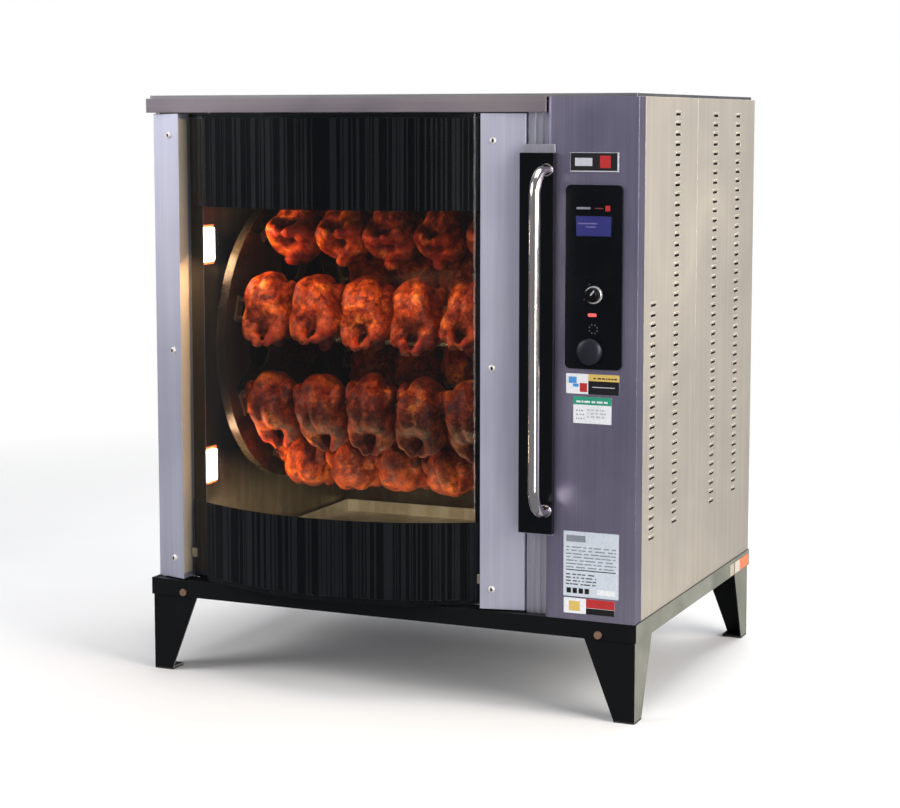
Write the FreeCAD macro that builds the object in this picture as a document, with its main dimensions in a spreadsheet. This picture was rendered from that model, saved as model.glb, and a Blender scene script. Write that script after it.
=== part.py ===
import FreeCAD, Part
import math
import os
import re
import Sketcher

# Countertop rotisserie oven: a steel cabinet on four splayed legs, a curved glass door hinged on its
# left post, and inside it a rotor with eight double-pronged spits.
# Frame: +X to the right seen from the front, the front faces -Y, +Z up, origin on the floor below
# the middle of the whole object. Heights are taken from the floor, and depths named *_in are
# measured backwards from the cabinet's front plane.

V = FreeCAD.Vector

SIZES = {
    "front": (-340.5, "y of the cabinet's front plane"),
    "cab_w": (1000, "cabinet width"),
    "base_w": (1006, "width over the base rails"),
    "base_d": (743, "depth over the base rails and rear panel"),
    "rail_low": (150, "underside of the base rails"),
    "rail_top": (183, "top of the base rails"),
    "bolt_x": (431, "x of the leg bolts"),
    "cab_top": (1122, "top edge of the cabinet"),
    "lid_rise": (6, "height of the raised top cover"),
    "head_h": (27, "height of the top rail"),
    "seam_in": (346, "depth of the side panels' seam"),
    "skin": (1.5, "sheet metal thickness"),
    "angle_t": (3, "wall of the base angles and legs"),
    "flange": (40, "horizontal flange of the base angles"),
    "leg_wide": (97, "leg flange width at the top"),
    "leg_slim": (40, "leg flange width at the floor"),
    "pad_t": (3, "foot pad thickness"),
    "door_left": (-494, "outer edge of the hinge post"),
    "door_right": (281, "outer edge of the handle post"),
    "glass_left": (-430, "inner edge of the hinge post"),
    "glass_right": (200, "inner edge of the handle post"),
    "door_low": (186, "underside of the door"),
    "door_high": (1093, "top of the door"),
    "cap_t": (8, "thickness of the door's end caps"),
    "post_cant": (17, "how far a post's outer edge lies back"),
    "post_deep": (46, "depth of the door posts"),
    "lip_w": (27, "width of the lip behind the glass edge"),
    "glass_mid": (-115, "x of the glass arc's axis"),
    "glass_axis": (498, "depth of the glass arc's axis"),
    "outer_rad": (560, "outer radius of the outer glass"),
    "inner_rad": (541, "outer radius of the inner glass"),
    "pane_t": (5, "outer pane thickness"),
    "inner_t": (4, "inner pane thickness"),
    "hinge_x": (-486, "x of the door hinge axis"),
    "hinge_in": (22, "depth of the door hinge axis"),
    "pin_rad": (4, "hinge pin radius"),
    "run_gap": (0.05, "radial running clearance"),
    "frame_in": (50, "depth of the front frame's face"),
    "frame_t": (4, "front frame thickness"),
    "cav_left": (-434, "left wall of the cavity"),
    "cav_right": (215, "right wall of the cavity"),
    "cav_back": (722, "depth of the cavity's rear wall"),
    "cav_floor": (200, "cavity floor height"),
    "cav_roof": (1000, "cavity roof height"),
    "rotor_in": (380, "depth of the rotor axis"),
    "rotor_up": (635, "height of the rotor axis"),
    "spit_ring": (250, "radius of the ring of spits"),
    "disc_rad": (295, "rotor disc radius"),
    "disc_t": (4, "rotor disc thickness"),
    "disc_left": (-386, "outer face of the left disc"),
    "disc_right": (192, "outer face of the right disc"),
    "shaft_rad": (12, "rotor shaft radius"),
    "shaft_left": (-452, "left end of the rotor shaft"),
    "shaft_right": (280, "right end of the rotor shaft"),
    "prong_rad": (4, "spit prong radius"),
    "prong_gap": (36, "distance between a spit's prongs"),
    "tenon_rad": (8, "radius of the pin at each end of a spit"),
    "bird_pitch": (107.5, "spacing of the chickens on a spit"),
    "bird_rad": (70, "largest radius of a chicken"),
    "bird_end": (36, "radius of a chicken at its ends"),
    "bird_half": (48, "half length of a chicken"),
    "bird_mid": (-91, "x of the middle chicken"),
    "fan_x": (-110, "x of the fan axis"),
    "fan_in": (612, "depth of the fan axis"),
    "fan_rad": (80, "fan wheel radius"),
    "fan_low": (957, "lower edge of the fan blades"),
    "guard_rad": (106, "fan guard radius"),
    "guard_up": (944, "height of the fan guard"),
    "heater_up": (967, "height of the ring heater"),
    "lamp_low": (364, "lower edge of the lower cavity lamp"),
    "lamp_high": (803, "lower edge of the upper cavity lamp"),
    "vent_hole": (42, "radius of the openings in the rotor discs"),
    "stile_left": (284, "left edge of the recessed stile"),
    "col_left": (327, "left edge of the control column"),
    "col_fold": (35, "depth of the column's side return"),
    "fascia_t": (4, "control fascia thickness"),
    "fascia_left": (365.5, "left edge of the control fascia"),
    "fascia_right": (472, "right edge of the control fascia"),
    "fascia_low": (640, "lower edge of the control fascia"),
    "fascia_high": (967, "upper edge of the control fascia"),
    "lcd_left": (386, "left edge of the display"),
    "lcd_w": (65, "display width"),
    "lcd_low": (877, "lower edge of the display"),
    "lcd_h": (35, "display height"),
    "light_x": (417, "x of the indicator lamp"),
    "light_up": (737, "height of the indicator lamp"),
    "knob_x": (420, "x of the selector knob"),
    "knob_up": (773, "height of the selector knob"),
    "button_x": (413, "x of the rotor button"),
    "button_up": (672, "height of the rotor button"),
    "button_rad": (23.5, "rotor button radius"),
    "stem_rad": (4, "selector stem radius"),
    "plate_face": (14, "how far the handle plate's face stands forward"),
    "plate_right": (346, "right edge of the handle plate"),
    "plate_low": (338, "lower edge of the handle plate"),
    "plate_high": (1023, "upper edge of the handle plate"),
    "grip_x": (334, "x of the handle bar"),
    "grip_out": (74, "how far the handle bar's centre stands forward"),
    "grip_rad": (10, "handle bar radius"),
    "grip_low": (381, "height of the lower handle fixing"),
    "grip_high": (993, "height of the upper handle fixing"),
    "grip_bend": (45, "bend radius of the handle bar"),
    "gland_x": (300, "x of the cable gland"),
    "gland_up": (260, "height of the cable gland"),
    "gland_rad": (14, "outer radius of the cable gland"),
    "gland_bore": (7, "radius of the gland's cable hole"),
    "gland_out": (22, "how far the gland stands out behind"),
    "gland_seat": (13, "how far the gland reaches into the cabinet"),
    "slot_w": (30, "length of a vent slot"),
    "slot_up": (7.5, "height of a vent slot"),
    "slot_step": (18.5, "vertical spacing of the vent slots"),
}

SPITS = 8
BIRDS_PER_SPIT = 5
SPIT_PHASE = 17.0
FAN_BLADES = 12
GUARD_WINDOWS = 24

# Vent columns of a side panel: depth of the column's middle, lowest slot, number of slots.
VENT_COLUMNS = [(90, 326, 24), (226, 334, 42), (468, 332, 42), (625, 331, 42)]

# Cap screws on the door posts: x and height.
HINGE_POST_SCREWS = [(-453, 1052), (-449, 636), (-453, 225)]
HANDLE_POST_SCREWS = [(222, 1044), (221, 632), (221, 223)]

# Badge and label plates on the control column: left, right, low, high, thickness.
LABEL_PLATES = [
    (373, 463, 990, 1024, 2.0),
    (367, 467, 595, 631, 0.5),
    (381, 453, 542, 590, 0.5),
    (364, 469, 226, 345, 0.5),
    (365, 462, 195, 223, 0.5),
]

doc = FreeCAD.newDocument("rotisserie_oven")
sheet = doc.addObject("Spreadsheet::Sheet", "sizes")
for row, (alias, (value, note)) in enumerate(SIZES.items(), start=1):
    sheet.set(f"A{row}", note)
    sheet.set(f"B{row}", str(value))
    sheet.setAlias(f"B{row}", alias)
doc.recompute()

ALIAS = re.compile(r"\b(" + "|".join(sorted(SIZES, key=len, reverse=True)) + r")\b")
nodes = []


def bound(text):
    """The sheet's expression for a formula written with bare aliases."""
    return ALIAS.sub(r"sizes.\1", str(text))


def number(text):
    """The value of such a formula."""
    value = sheet.evalExpression(bound(text))
    return float(getattr(value, "Value", value))


def bind(thing, **formulas):
    """Bind properties of an object to formulas; place=(x, y, z) binds its position."""
    place = formulas.pop("place", None)
    for name, text in formulas.items():
        thing.setExpression(name, bound(text))
    if place:
        for axis, text in zip("xyz", place):
            thing.setExpression(f"Placement.Base.{axis}", bound(text))
    return thing


def node(thing, label):
    """Give a finished sub-part its name and list it for export."""
    thing.Label = label
    nodes.append(thing)
    return thing


def block(x, y, z):
    """Box between two formulas on each axis."""
    thing = doc.addObject("Part::Box", "block")
    bind(
        thing,
        Length=f"({x[1]}) - ({x[0]})",
        Width=f"({y[1]}) - ({y[0]})",
        Height=f"({z[1]}) - ({z[0]})",
        place=(x[0], y[0], z[0]),
    )
    return thing


def rod(radius, length, start, along="z"):
    """Cylinder from a start point along +x, +y or +z."""
    turn = {"x": (V(0, 1, 0), 90), "y": (V(1, 0, 0), -90), "z": (V(0, 0, 1), 0)}[along]
    thing = doc.addObject("Part::Cylinder", "rod")
    thing.Placement = FreeCAD.Placement(V(0, 0, 0), FreeCAD.Rotation(*turn))
    return bind(thing, Radius=radius, Height=length, place=start)


def fuse(*things):
    joined = doc.addObject("Part::MultiFuse", "fuse")
    joined.Shapes = list(things)
    return joined


def cut(base, *tools):
    tool = tools[0] if len(tools) == 1 else fuse(*tools)
    result = doc.addObject("Part::Cut", "cut")
    result.Base = base
    result.Tool = tool
    return result


def common(base, tool):
    result = doc.addObject("Part::Common", "common")
    result.Base = base
    result.Tool = tool
    return result


def group(*things):
    """Separate solids that share one node."""
    together = doc.addObject("Part::Compound", "group")
    together.Links = list(things)
    return together


def new_sketch(body, plane):
    """Sketch on one of the body's own origin planes."""
    sketch = body.newObject("Sketcher::SketchObject", "sketch")
    origin_plane = [f for f in body.Origin.OriginFeatures if f.Role == plane][0]
    sketch.AttachmentSupport = [(origin_plane, "")]
    sketch.MapMode = "FlatFace"
    return sketch


def pin_point(sketch, geometry, end, corner):
    """Hold one sketch point at a pair of formulas."""
    for kind, axis, text in (("DistanceX", -2, corner[0]), ("DistanceY", -1, corner[1])):
        value = number(text)
        if abs(value) < 1e-9:
            sketch.addConstraint(Sketcher.Constraint("PointOnObject", geometry, end, axis))
            continue
        index = sketch.addConstraint(Sketcher.Constraint(kind, -1, 1, geometry, end, value))
        sketch.setExpression(f"Constraints[{index}]", bound(text))


def draw_polygon(sketch, corners):
    """Closed polygon whose corners are pairs of formulas."""
    spots = [V(number(x), number(y), 0) for x, y in corners]
    first = sketch.GeometryCount
    count = len(spots)
    for i in range(count):
        sketch.addGeometry(Part.LineSegment(spots[i], spots[(i + 1) % count]), False)
    for i in range(count):
        following = first + (i + 1) % count
        sketch.addConstraint(Sketcher.Constraint("Coincident", first + i, 2, following, 1))
    for i, corner in enumerate(corners):
        pin_point(sketch, first + i, 1, corner)


def draw_circle(sketch, centre, radius):
    circle = Part.Circle(V(number(centre[0]), number(centre[1]), 0), V(0, 0, 1), number(radius))
    index = sketch.addGeometry(circle, False)
    pin_point(sketch, index, 3, centre)
    held = sketch.addConstraint(Sketcher.Constraint("Radius", index, number(radius)))
    sketch.setExpression(f"Constraints[{held}]", bound(radius))


def new_pad(body, sketch, length, reverse=False):
    pad = body.newObject("PartDesign::Pad", "pad")
    pad.Profile = sketch
    pad.Reversed = reverse
    bind(pad, Length=length)
    sketch.Visibility = False
    return pad


def extrusion(low, high, *outlines):
    """Upright body with a constant plan: the first outline is the wall, the others are hollows."""
    body = doc.addObject("PartDesign::Body", "extrusion")
    sketch = new_sketch(body, "XY_Plane")
    for outline in outlines:
        draw_polygon(sketch, outline)
    new_pad(body, sketch, f"({high}) - ({low})")
    bind(body, place=(0, 0, low))
    return body


def turned(outline, place, rotation):
    """Body of revolution: the outline's second coordinate is the distance from its own X axis."""
    body = doc.addObject("PartDesign::Body", "turned")
    sketch = new_sketch(body, "XY_Plane")
    draw_polygon(sketch, outline)
    spin = body.newObject("PartDesign::Revolution", "revolution")
    spin.Profile = sketch
    spin.ReferenceAxis = (sketch, ["H_Axis"])
    spin.Angle = 360
    body.Placement = FreeCAD.Placement(V(0, 0, 0), FreeCAD.Rotation(*rotation))
    bind(body, place=place)
    return body


def edges_along(shape, direction):
    """Names of the straight edges that run along a direction."""
    names = []
    for index, edge in enumerate(shape.Edges, start=1):
        if len(edge.Vertexes) == 2:
            run = edge.Vertexes[1].Point.sub(edge.Vertexes[0].Point)
            if run.normalize().cross(direction).Length < 1e-6:
                names.append(f"Edge{index}")
    return names


def rounded_plate(x, y, z, radius):
    """Upright plate facing the front with rounded corners."""
    plate = block(x, y, z)
    doc.recompute()
    rounding = doc.addObject("Part::Fillet", "rounded")
    rounding.Base = plate
    names = edges_along(plate.Shape, V(0, 1, 0))
    rounding.Edges = [(int(name[4:]), radius, radius) for name in names]
    return rounding


# Base: four angle-iron rails, four folded legs, pads and the bolts that hold the legs.

def add_base():
    back = "front + base_d"
    half = "base_w/2"
    inner = "base_w/2 - angle_t"
    web = ("rail_low", "rail_top")
    ledge = ("rail_top - angle_t", "rail_top")
    ends = (
        ("base_rail_front", ("front", "front + angle_t"), ("front + angle_t", "front + flange")),
        ("base_rail_rear", (f"{back} - angle_t", back), (f"{back} - flange", f"{back} - angle_t")),
    )
    for label, wall, shelf in ends:
        upright = block((f"-{half}", half), wall, web)
        flat = block((f"-({inner})", inner), shelf, ledge)
        node(fuse(upright, flat), label)
    along_wall = ("front + angle_t", "front + base_d - angle_t")
    along_shelf = ("front + flange", "front + base_d - flange")
    sides = (
        ("base_rail_left", (f"-{half}", f"-({inner})"), (f"-({inner})", f"-({inner}) + flange")),
        ("base_rail_right", (inner, half), (f"{inner} - flange", inner)),
    )
    for label, wall, shelf in sides:
        node(fuse(block(wall, along_wall, web), block(shelf, along_shelf, ledge)), label)


def add_leg(label, x, y, quarter_turns):
    """One leg: two tapered flanges that meet in a corner, and a small foot plate."""
    body = doc.addObject("PartDesign::Body", "leg")
    top = "rail_top - angle_t - pad_t"
    shoulder = "rail_low - pad_t"
    outline = [("0", "0"), ("leg_slim", "0"), ("leg_wide", shoulder), ("leg_wide", top), ("0", top)]
    for plane, reverse in (("XZ_Plane", True), ("YZ_Plane", False)):
        sketch = new_sketch(body, plane)
        draw_polygon(sketch, outline)
        new_pad(body, sketch, "angle_t", reverse)
    sketch = new_sketch(body, "XY_Plane")
    draw_polygon(sketch, [("0", "0"), ("leg_slim", "0"), ("leg_slim", "leg_slim"), ("0", "leg_slim")])
    new_pad(body, sketch, "angle_t")
    body.Placement = FreeCAD.Placement(V(0, 0, 0), FreeCAD.Rotation(V(0, 0, 1), 90 * quarter_turns))
    bind(body, place=(x, y, "pad_t"))
    node(body, label)


def add_legs():
    left = "-(base_w/2 - angle_t)"
    right = "base_w/2 - angle_t"
    near = "front + angle_t"
    far = "front + base_d - angle_t"
    add_leg("leg_front_left", left, near, 0)
    add_leg("leg_front_right", right, near, 1)
    add_leg("leg_rear_right", right, far, 2)
    add_leg("leg_rear_left", left, far, 3)
    pads = []
    for x in ((left, f"{left} + leg_slim"), (f"{right} - leg_slim", right)):
        for y in ((near, f"{near} + leg_slim"), (f"{far} - leg_slim", far)):
            pads.append(block(x, y, ("0", "pad_t")))
    node(group(*pads), "foot_pads")
    heads = []
    for side in (-1, 1):
        for y in ("front - 4", "front + base_d"):
            heads.append(rod("7", "4", (f"{side}*bolt_x", y, "rail_low + 9"), "y"))
    node(group(*heads), "leg_bolts")


# Casing: side panels with punched vent slots, rear panel, bottom panel and the raised top cover.

def vent_comb(x):
    """All the vent slots of one side panel as a block of cutters."""
    low_x, high_x = (number(text) for text in x)
    width, height, step = (number(name) for name in ("slot_w", "slot_up", "slot_step"))
    cutters = []
    for depth, lowest, count in VENT_COLUMNS:
        start = number("front") + depth - width / 2
        for i in range(count):
            corner = V(low_x, start, lowest + i * step - height / 2)
            cutters.append(Part.makeBox(high_x - low_x, width, height, corner))
    comb = doc.addObject("Part::Feature", "vent_comb")
    comb.Shape = Part.Compound(cutters)
    return comb


def add_side_panels():
    depth = ("front + col_fold + 1", "front + base_d - skin")
    height = ("rail_top", "cab_top")
    for label, sign in (("side_panel_left", -1), ("side_panel_right", 1)):
        edge = sorted((f"{sign}*cab_w/2", f"{sign}*(cab_w/2 - skin)"), key=number)
        reach = sorted((f"{sign}*(cab_w/2 + 1)", f"{sign}*(cab_w/2 - skin - 1)"), key=number)
        panel = block(edge, depth, height)
        seam_x = sorted((f"{sign}*(cab_w/2 - 0.6)", f"{sign}*(cab_w/2 + 1)"), key=number)
        seam = block(seam_x, ("front + seam_in", "front + seam_in + 1.2"), ("rail_top - 1", "cab_top + 1"))
        node(cut(cut(panel, vent_comb(reach)), seam), label)


def add_covers():
    width = ("-cab_w/2", "cab_w/2")
    gland = rod("gland_rad + 0.2", "10", ("gland_x", "front + base_d - 5", "gland_up"), "y")
    back = block(width, ("front + base_d - skin", "front + base_d"), ("rail_top", "cab_top"))
    node(cut(back, gland), "rear_panel")
    inside = ("-(cab_w/2 - skin)", "cab_w/2 - skin")
    floor_y = ("front + frame_in + frame_t", "front + base_d - skin")
    node(block(inside, floor_y, ("rail_top", "rail_top + skin")), "bottom_panel")
    lid_x = ("-(cab_w/2 - 6)", "cab_w/2 - 6")
    lid = block(lid_x, ("front + 6", "front + base_d - 6"), ("cab_top", "cab_top + lid_rise"))
    hollow_x = ("-(cab_w/2 - 6 - skin)", "cab_w/2 - 6 - skin")
    hollow_y = ("front + 6 + skin", "front + base_d - 6 - skin")
    node(cut(lid, block(hollow_x, hollow_y, ("cab_top - 1", "cab_top + lid_rise - skin"))), "top_cover")


# Front: top rail, the frame round the cavity mouth, the recessed stile and the control column.

def add_front():
    rail = [
        ("0", "0"),
        ("frame_in", "0"),
        ("frame_in", "skin"),
        ("skin", "skin"),
        ("skin", "head_h - skin"),
        ("30", "head_h - skin"),
        ("30", "head_h"),
        ("0", "head_h"),
    ]
    body = doc.addObject("PartDesign::Body", "top_rail_body")
    sketch = new_sketch(body, "YZ_Plane")
    draw_polygon(sketch, rail)
    new_pad(body, sketch, "cab_w/2 + col_left - 1")
    bind(body, place=("-cab_w/2", "front", "cab_top - head_h"))
    relief_x = ("-cab_w/2 - 1", "-cab_w/2 + skin + 0.1")
    relief_y = ("front + col_fold", "front + frame_in + 1")
    relief = block(relief_x, relief_y, ("cab_top - head_h - 1", "cab_top + 1"))
    node(cut(body, relief), "top_rail")

    face = ("front + frame_in", "front + frame_in + frame_t")
    outer = block(("-(cab_w/2 - 3)", "door_right + 1"), face, ("rail_top + 2", "cab_top - head_h - 1"))
    mouth_y = ("front + frame_in - 1", "front + frame_in + frame_t + 1")
    mouth = block(("cav_left", "cav_right"), mouth_y, ("cav_floor", "cav_roof"))
    node(cut(outer, mouth), "front_frame")

    near = "front + 22"
    far = "front + frame_in + frame_t"
    right = "col_left - 1"
    stile = [
        ("stile_left", near),
        (right, near),
        (right, far),
        (f"{right} - skin", far),
        (f"{right} - skin", f"{near} + skin"),
        ("stile_left + skin", f"{near} + skin"),
        ("stile_left + skin", far),
        ("stile_left", far),
    ]
    height = ("rail_top", "cab_top - head_h")
    channel = extrusion(*height, stile)
    ribs = []
    for x in ("stile_left + 10", "stile_left + 24"):
        ribs.append(block((x, f"{x} + 4"), ("front + 19", near), height))
    node(fuse(channel, *ribs), "front_stile")


def add_column():
    right = "cab_w/2"
    outline = [
        ("col_left", "front"),
        (right, "front"),
        (right, "front + col_fold"),
        (f"{right} - skin", "front + col_fold"),
        (f"{right} - skin", "front + skin"),
        ("col_left + skin", "front + skin"),
        ("col_left + skin", "front + frame_in"),
        ("col_left", "front + frame_in"),
    ]
    body = extrusion("rail_top", "cab_top", outline)
    doc.recompute()
    bends = {
        (number("col_left"), number("front")): 10,
        (number("col_left + skin"), number("front + skin")): 8.5,
    }
    rounding = doc.addObject("Part::Fillet", "rounded_fold")
    rounding.Base = body
    folds = []
    for name in edges_along(body.Shape, V(0, 0, 1)):
        spot = body.Shape.getElement(name).Vertexes[0].Point
        for (x, y), radius in bends.items():
            if math.hypot(spot.x - x, spot.y - y) < 0.01:
                folds.append((int(name[4:]), radius, radius))
    rounding.Edges = folds
    knob_hole = rod("8", "10", ("knob_x", "front - 5", "knob_up"), "y")
    button_hole = rod("button_rad + 2.5", "10", ("button_x", "front - 5", "button_up"), "y")
    node(cut(rounding, knob_hole, button_hole), "column_panel")


def add_controls():
    face = ("front - fascia_t", "front")
    plate = rounded_plate(("fascia_left", "fascia_right"), face, ("fascia_low", "fascia_high"), 10)
    knob_hole = rod("stem_rad + run_gap", "10", ("knob_x", "front - 7", "knob_up"), "y")
    button_hole = rod("button_rad + run_gap", "10", ("button_x", "front - 7", "button_up"), "y")
    node(cut(plate, knob_hole, button_hole), "control_fascia")

    lcd_y = ("front - fascia_t - 0.6", "front - fascia_t")
    node(block(("lcd_left", "lcd_left + lcd_w"), lcd_y, ("lcd_low", "lcd_low + lcd_h")), "display_window")
    lens_x = ("light_x - 8", "light_x + 8")
    lens_y = ("front - fascia_t - 1.5", "front - fascia_t")
    node(rounded_plate(lens_x, lens_y, ("light_up - 3", "light_up + 3"), 2.5), "indicator_lamp")

    plates = [
        block((str(left), str(right)), (f"front - {thick}", "front"), (str(low), str(high)))
        for left, right, low, high, thick in LABEL_PLATES
    ]
    node(group(*plates), "label_plates")

    board_z = ("fascia_low + 10", "fascia_high - 7")
    parts = [block(("fascia_left + 4.5", "fascia_right - 4"), ("front + 40", "front + 42"), board_z)]
    for x, z in (("knob_x", "knob_up"), ("button_x", "button_up")):
        case = block((f"{x} - 15", f"{x} + 15"), ("front + 18", "front + 39.9"), (f"{z} - 15", f"{z} + 15"))
        parts.append(case)
    node(group(*parts), "control_board")


def add_knobs():
    # Both turn about an axis that points out of the front: local +X becomes -Y.
    facing = (V(0, 0, 1), -90)
    knob = [
        ("-14", "0"),
        ("-14", "stem_rad"),
        ("fascia_t + 0.3", "stem_rad"),
        ("fascia_t + 0.3", "16"),
        ("fascia_t + 4", "16"),
        ("fascia_t + 6", "11.5"),
        ("fascia_t + 19", "10"),
        ("fascia_t + 20.5", "8.5"),
        ("fascia_t + 20.5", "0"),
    ]
    node(turned(knob, ("knob_x", "front", "knob_up"), facing), "selector_knob")
    button = [
        ("-6", "0"),
        ("-6", "button_rad"),
        ("fascia_t + 7", "button_rad"),
        ("fascia_t + 10", "button_rad - 3"),
        ("fascia_t + 12", "button_rad - 9"),
        ("fascia_t + 12.6", "0"),
    ]
    node(turned(button, ("button_x", "front", "button_up"), facing), "rotor_button")


# Cavity: five stainless walls, the drip tray, two lamps, fan, heater and the rotor's drive.

def add_cavity():
    wide = ("cav_left", "cav_right")
    deep = ("front + frame_in + frame_t", "front + cav_back")
    tall = ("cav_floor - skin", "cav_roof + skin")
    sides = (
        ("cavity_left_wall", ("cav_left - skin", "cav_left")),
        ("cavity_right_wall", ("cav_right", "cav_right + skin")),
    )
    for label, x in sides:
        hole = rod("shaft_rad + 4", "12", (f"{x[0]} - 5", "front + rotor_in", "rotor_up"), "x")
        node(cut(block(x, deep, tall), hole), label)
    back_x = ("cav_left - skin", "cav_right + skin")
    node(block(back_x, ("front + cav_back", "front + cav_back + skin"), tall), "cavity_rear_wall")
    roof = block(wide, deep, ("cav_roof", "cav_roof + skin"))
    fan_hole = rod("8", "12", ("fan_x", "front + fan_in", "cav_roof - 5"))
    node(cut(roof, fan_hole), "cavity_roof")
    node(block(wide, deep, ("cav_floor - skin", "cav_floor")), "cavity_floor")

    tray_x = ("cav_left + 9", "cav_right - 10")
    tray_y = ("front + 62", "front + cav_back - 10")
    pan = block(tray_x, tray_y, ("cav_floor + 0.5", "cav_floor + 28"))
    basin_x = (f"{tray_x[0]} + skin", f"{tray_x[1]} - skin")
    basin_y = (f"{tray_y[0]} + skin", f"{tray_y[1]} - skin")
    node(cut(pan, block(basin_x, basin_y, ("cav_floor + 2", "cav_floor + 30"))), "drip_tray")

    lamp_x = ("cav_left", "cav_left + 10")
    lamp_y = ("front + 76", "front + 128")
    low_lamp = block(lamp_x, lamp_y, ("lamp_low", "lamp_low + 63"))
    high_lamp = block(lamp_x, lamp_y, ("lamp_high", "lamp_high + 67"))
    node(group(low_lamp, high_lamp), "cavity_lamps")


def add_fan():
    """Fan under the rear of the roof, ringed by the heater, with its motor above."""
    axis_y = "front + fan_in"
    motor = rod("52", "66", ("fan_x", axis_y, "cav_roof + skin + 2"))
    foot = rod("62", "2", ("fan_x", axis_y, "cav_roof + skin"))
    bore = rod("5 + run_gap", "60", ("fan_x", axis_y, "cav_roof - 5"))
    node(cut(fuse(motor, foot), bore), "fan_motor")

    plate = rod("fan_rad", "2", ("fan_x", axis_y, "fan_low + 26"))
    spindle = rod("5", "55", ("fan_x", axis_y, "fan_low + 28"))
    hub = rod("14", "24", ("fan_x", axis_y, "fan_low + 2.5"))
    blades = doc.addObject("Part::Feature", "fan_blades")
    wheel_rad = number("fan_rad")
    centre = V(number("fan_x"), number(axis_y), number("fan_low"))
    solids = []
    for i in range(FAN_BLADES):
        blade = Part.makeBox(34, 2, 26.5, V(wheel_rad - 36, -1, 0))
        blade.rotate(V(0, 0, 0), V(0, 0, 1), 360.0 * i / FAN_BLADES)
        blade.translate(centre)
        solids.append(blade)
    blades.Shape = Part.Compound(solids)
    node(fuse(plate, spindle, hub, blades), "fan_wheel")

    guard = rod("guard_rad", "1.5", ("fan_x", axis_y, "guard_up"))
    windows = doc.addObject("Part::Feature", "guard_windows")
    solids = []
    for i in range(GUARD_WINDOWS):
        for inner, width in ((20, 3), (58, 6)):
            window = Part.makeBox(32, width, 8, V(inner, -2, number("guard_up") - 4))
            window.rotate(V(0, 0, 0), V(0, 0, 1), 360.0 * i / GUARD_WINDOWS)
            window.translate(V(centre.x, centre.y, 0))
            solids.append(window)
    windows.Shape = Part.Compound(solids)
    stays = []
    for i in range(4):
        turn = 45 + 90 * i
        x = f"fan_x + (guard_rad - 4)*cos({turn} deg)"
        y = f"front + fan_in + (guard_rad - 4)*sin({turn} deg)"
        stays.append(rod("3", "cav_roof - guard_up - 1", (x, y, "guard_up + 1")))
    node(fuse(cut(guard, windows), *stays), "fan_guard")

    ring = doc.addObject("Part::Torus", "heater_ring")
    bind(ring, Radius1="fan_rad + 12", Radius2="4", place=("fan_x", axis_y, "heater_up"))
    tails = []
    for x in ("fan_x - 9", "fan_x + 9"):
        tails.append(rod("4", "cav_roof - heater_up", (x, "front + fan_in - fan_rad - 12", "heater_up")))
    node(fuse(ring, *tails), "ring_heater")


def add_drive():
    y = "front + rotor_in"
    reach = ("shaft_rad + run_gap", "160")
    left = rod("30", "18", ("cav_left - skin - 18", y, "rotor_up"), "x")
    right = rod("30", "11", ("cav_right + skin", y, "rotor_up"), "x")
    passage = rod(*reach, ("cav_left - 80", y, "rotor_up"), "x")
    passage_right = rod(*reach, ("cav_right - 20", y, "rotor_up"), "x")
    node(group(cut(left, passage), cut(right, passage_right)), "rotor_bearings")

    case_y = (f"{y} - 48", f"{y} + 48")
    case = block(("cav_right + 13.5", "cav_right + 80"), case_y, ("rotor_up - 48", "rotor_up + 90"))
    motor = rod("38", "120", ("cav_right + 80", y, "rotor_up + 48"), "x")
    bore = rod("shaft_rad + run_gap", "60", ("cav_right + 10", y, "rotor_up"), "x")
    node(cut(fuse(case, motor), bore), "drive_motor")


# Rotor: shaft, two rimmed discs, eight double-pronged spits and their load.

def add_rotor():
    y = "front + rotor_in"
    shaft = rod("shaft_rad", "shaft_right - shaft_left", ("shaft_left", y, "rotor_up"), "x")
    node(shaft, "rotor_shaft")
    discs = (("rotor_disc_left", "disc_left", 1), ("rotor_disc_right", "disc_right", -1))
    for label, face, inward in discs:
        body = doc.addObject("PartDesign::Body", label + "_body")
        sketch = new_sketch(body, "YZ_Plane")
        draw_circle(sketch, ("0", "0"), "disc_rad")
        draw_circle(sketch, ("0", "0"), "shaft_rad + run_gap")
        new_pad(body, sketch, "disc_t", inward < 0)
        rim = new_sketch(body, "YZ_Plane")
        draw_circle(rim, ("0", "0"), "disc_rad")
        draw_circle(rim, ("0", "0"), "disc_rad - 4")
        new_pad(body, rim, "14", inward > 0)
        hub = new_sketch(body, "YZ_Plane")
        draw_circle(hub, ("0", "0"), "30")
        draw_circle(hub, ("0", "0"), "shaft_rad + run_gap")
        new_pad(body, hub, "12", inward > 0)
        doc.recompute()
        solid = body.Shape.Volume
        holes = new_sketch(body, "YZ_Plane")
        draw_circle(holes, ("spit_ring", "0"), "tenon_rad + run_gap")
        draw_circle(holes, ("140", "58"), "vent_hole")
        pocket = body.newObject("PartDesign::Pocket", "openings")
        pocket.Profile = holes
        pocket.Type = "ThroughAll"
        pocket.Midplane = True
        pattern = body.newObject("PartDesign::PolarPattern", "ring_of_openings")
        pattern.Originals = [pocket]
        pattern.Axis = (holes, ["N_Axis"])
        pattern.Angle = 360
        pattern.Occurrences = SPITS
        body.Tip = pattern
        turn = FreeCAD.Rotation(V(1, 0, 0), 180 - SPIT_PHASE)
        body.Placement = FreeCAD.Placement(V(0, 0, 0), turn)
        bind(body, place=(face, y, "rotor_up"))
        doc.recompute()
        one_opening = math.pi * number("vent_hole") ** 2 * number("disc_t")
        assert body.Shape.Volume < solid - (SPITS - 1) * one_opening, "disc openings"
        node(body, label)


def spit_angles():
    """Angle of each spit above the horizontal line that points to the front."""
    return [SPIT_PHASE + 360.0 * i / SPITS for i in range(SPITS)]


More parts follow.
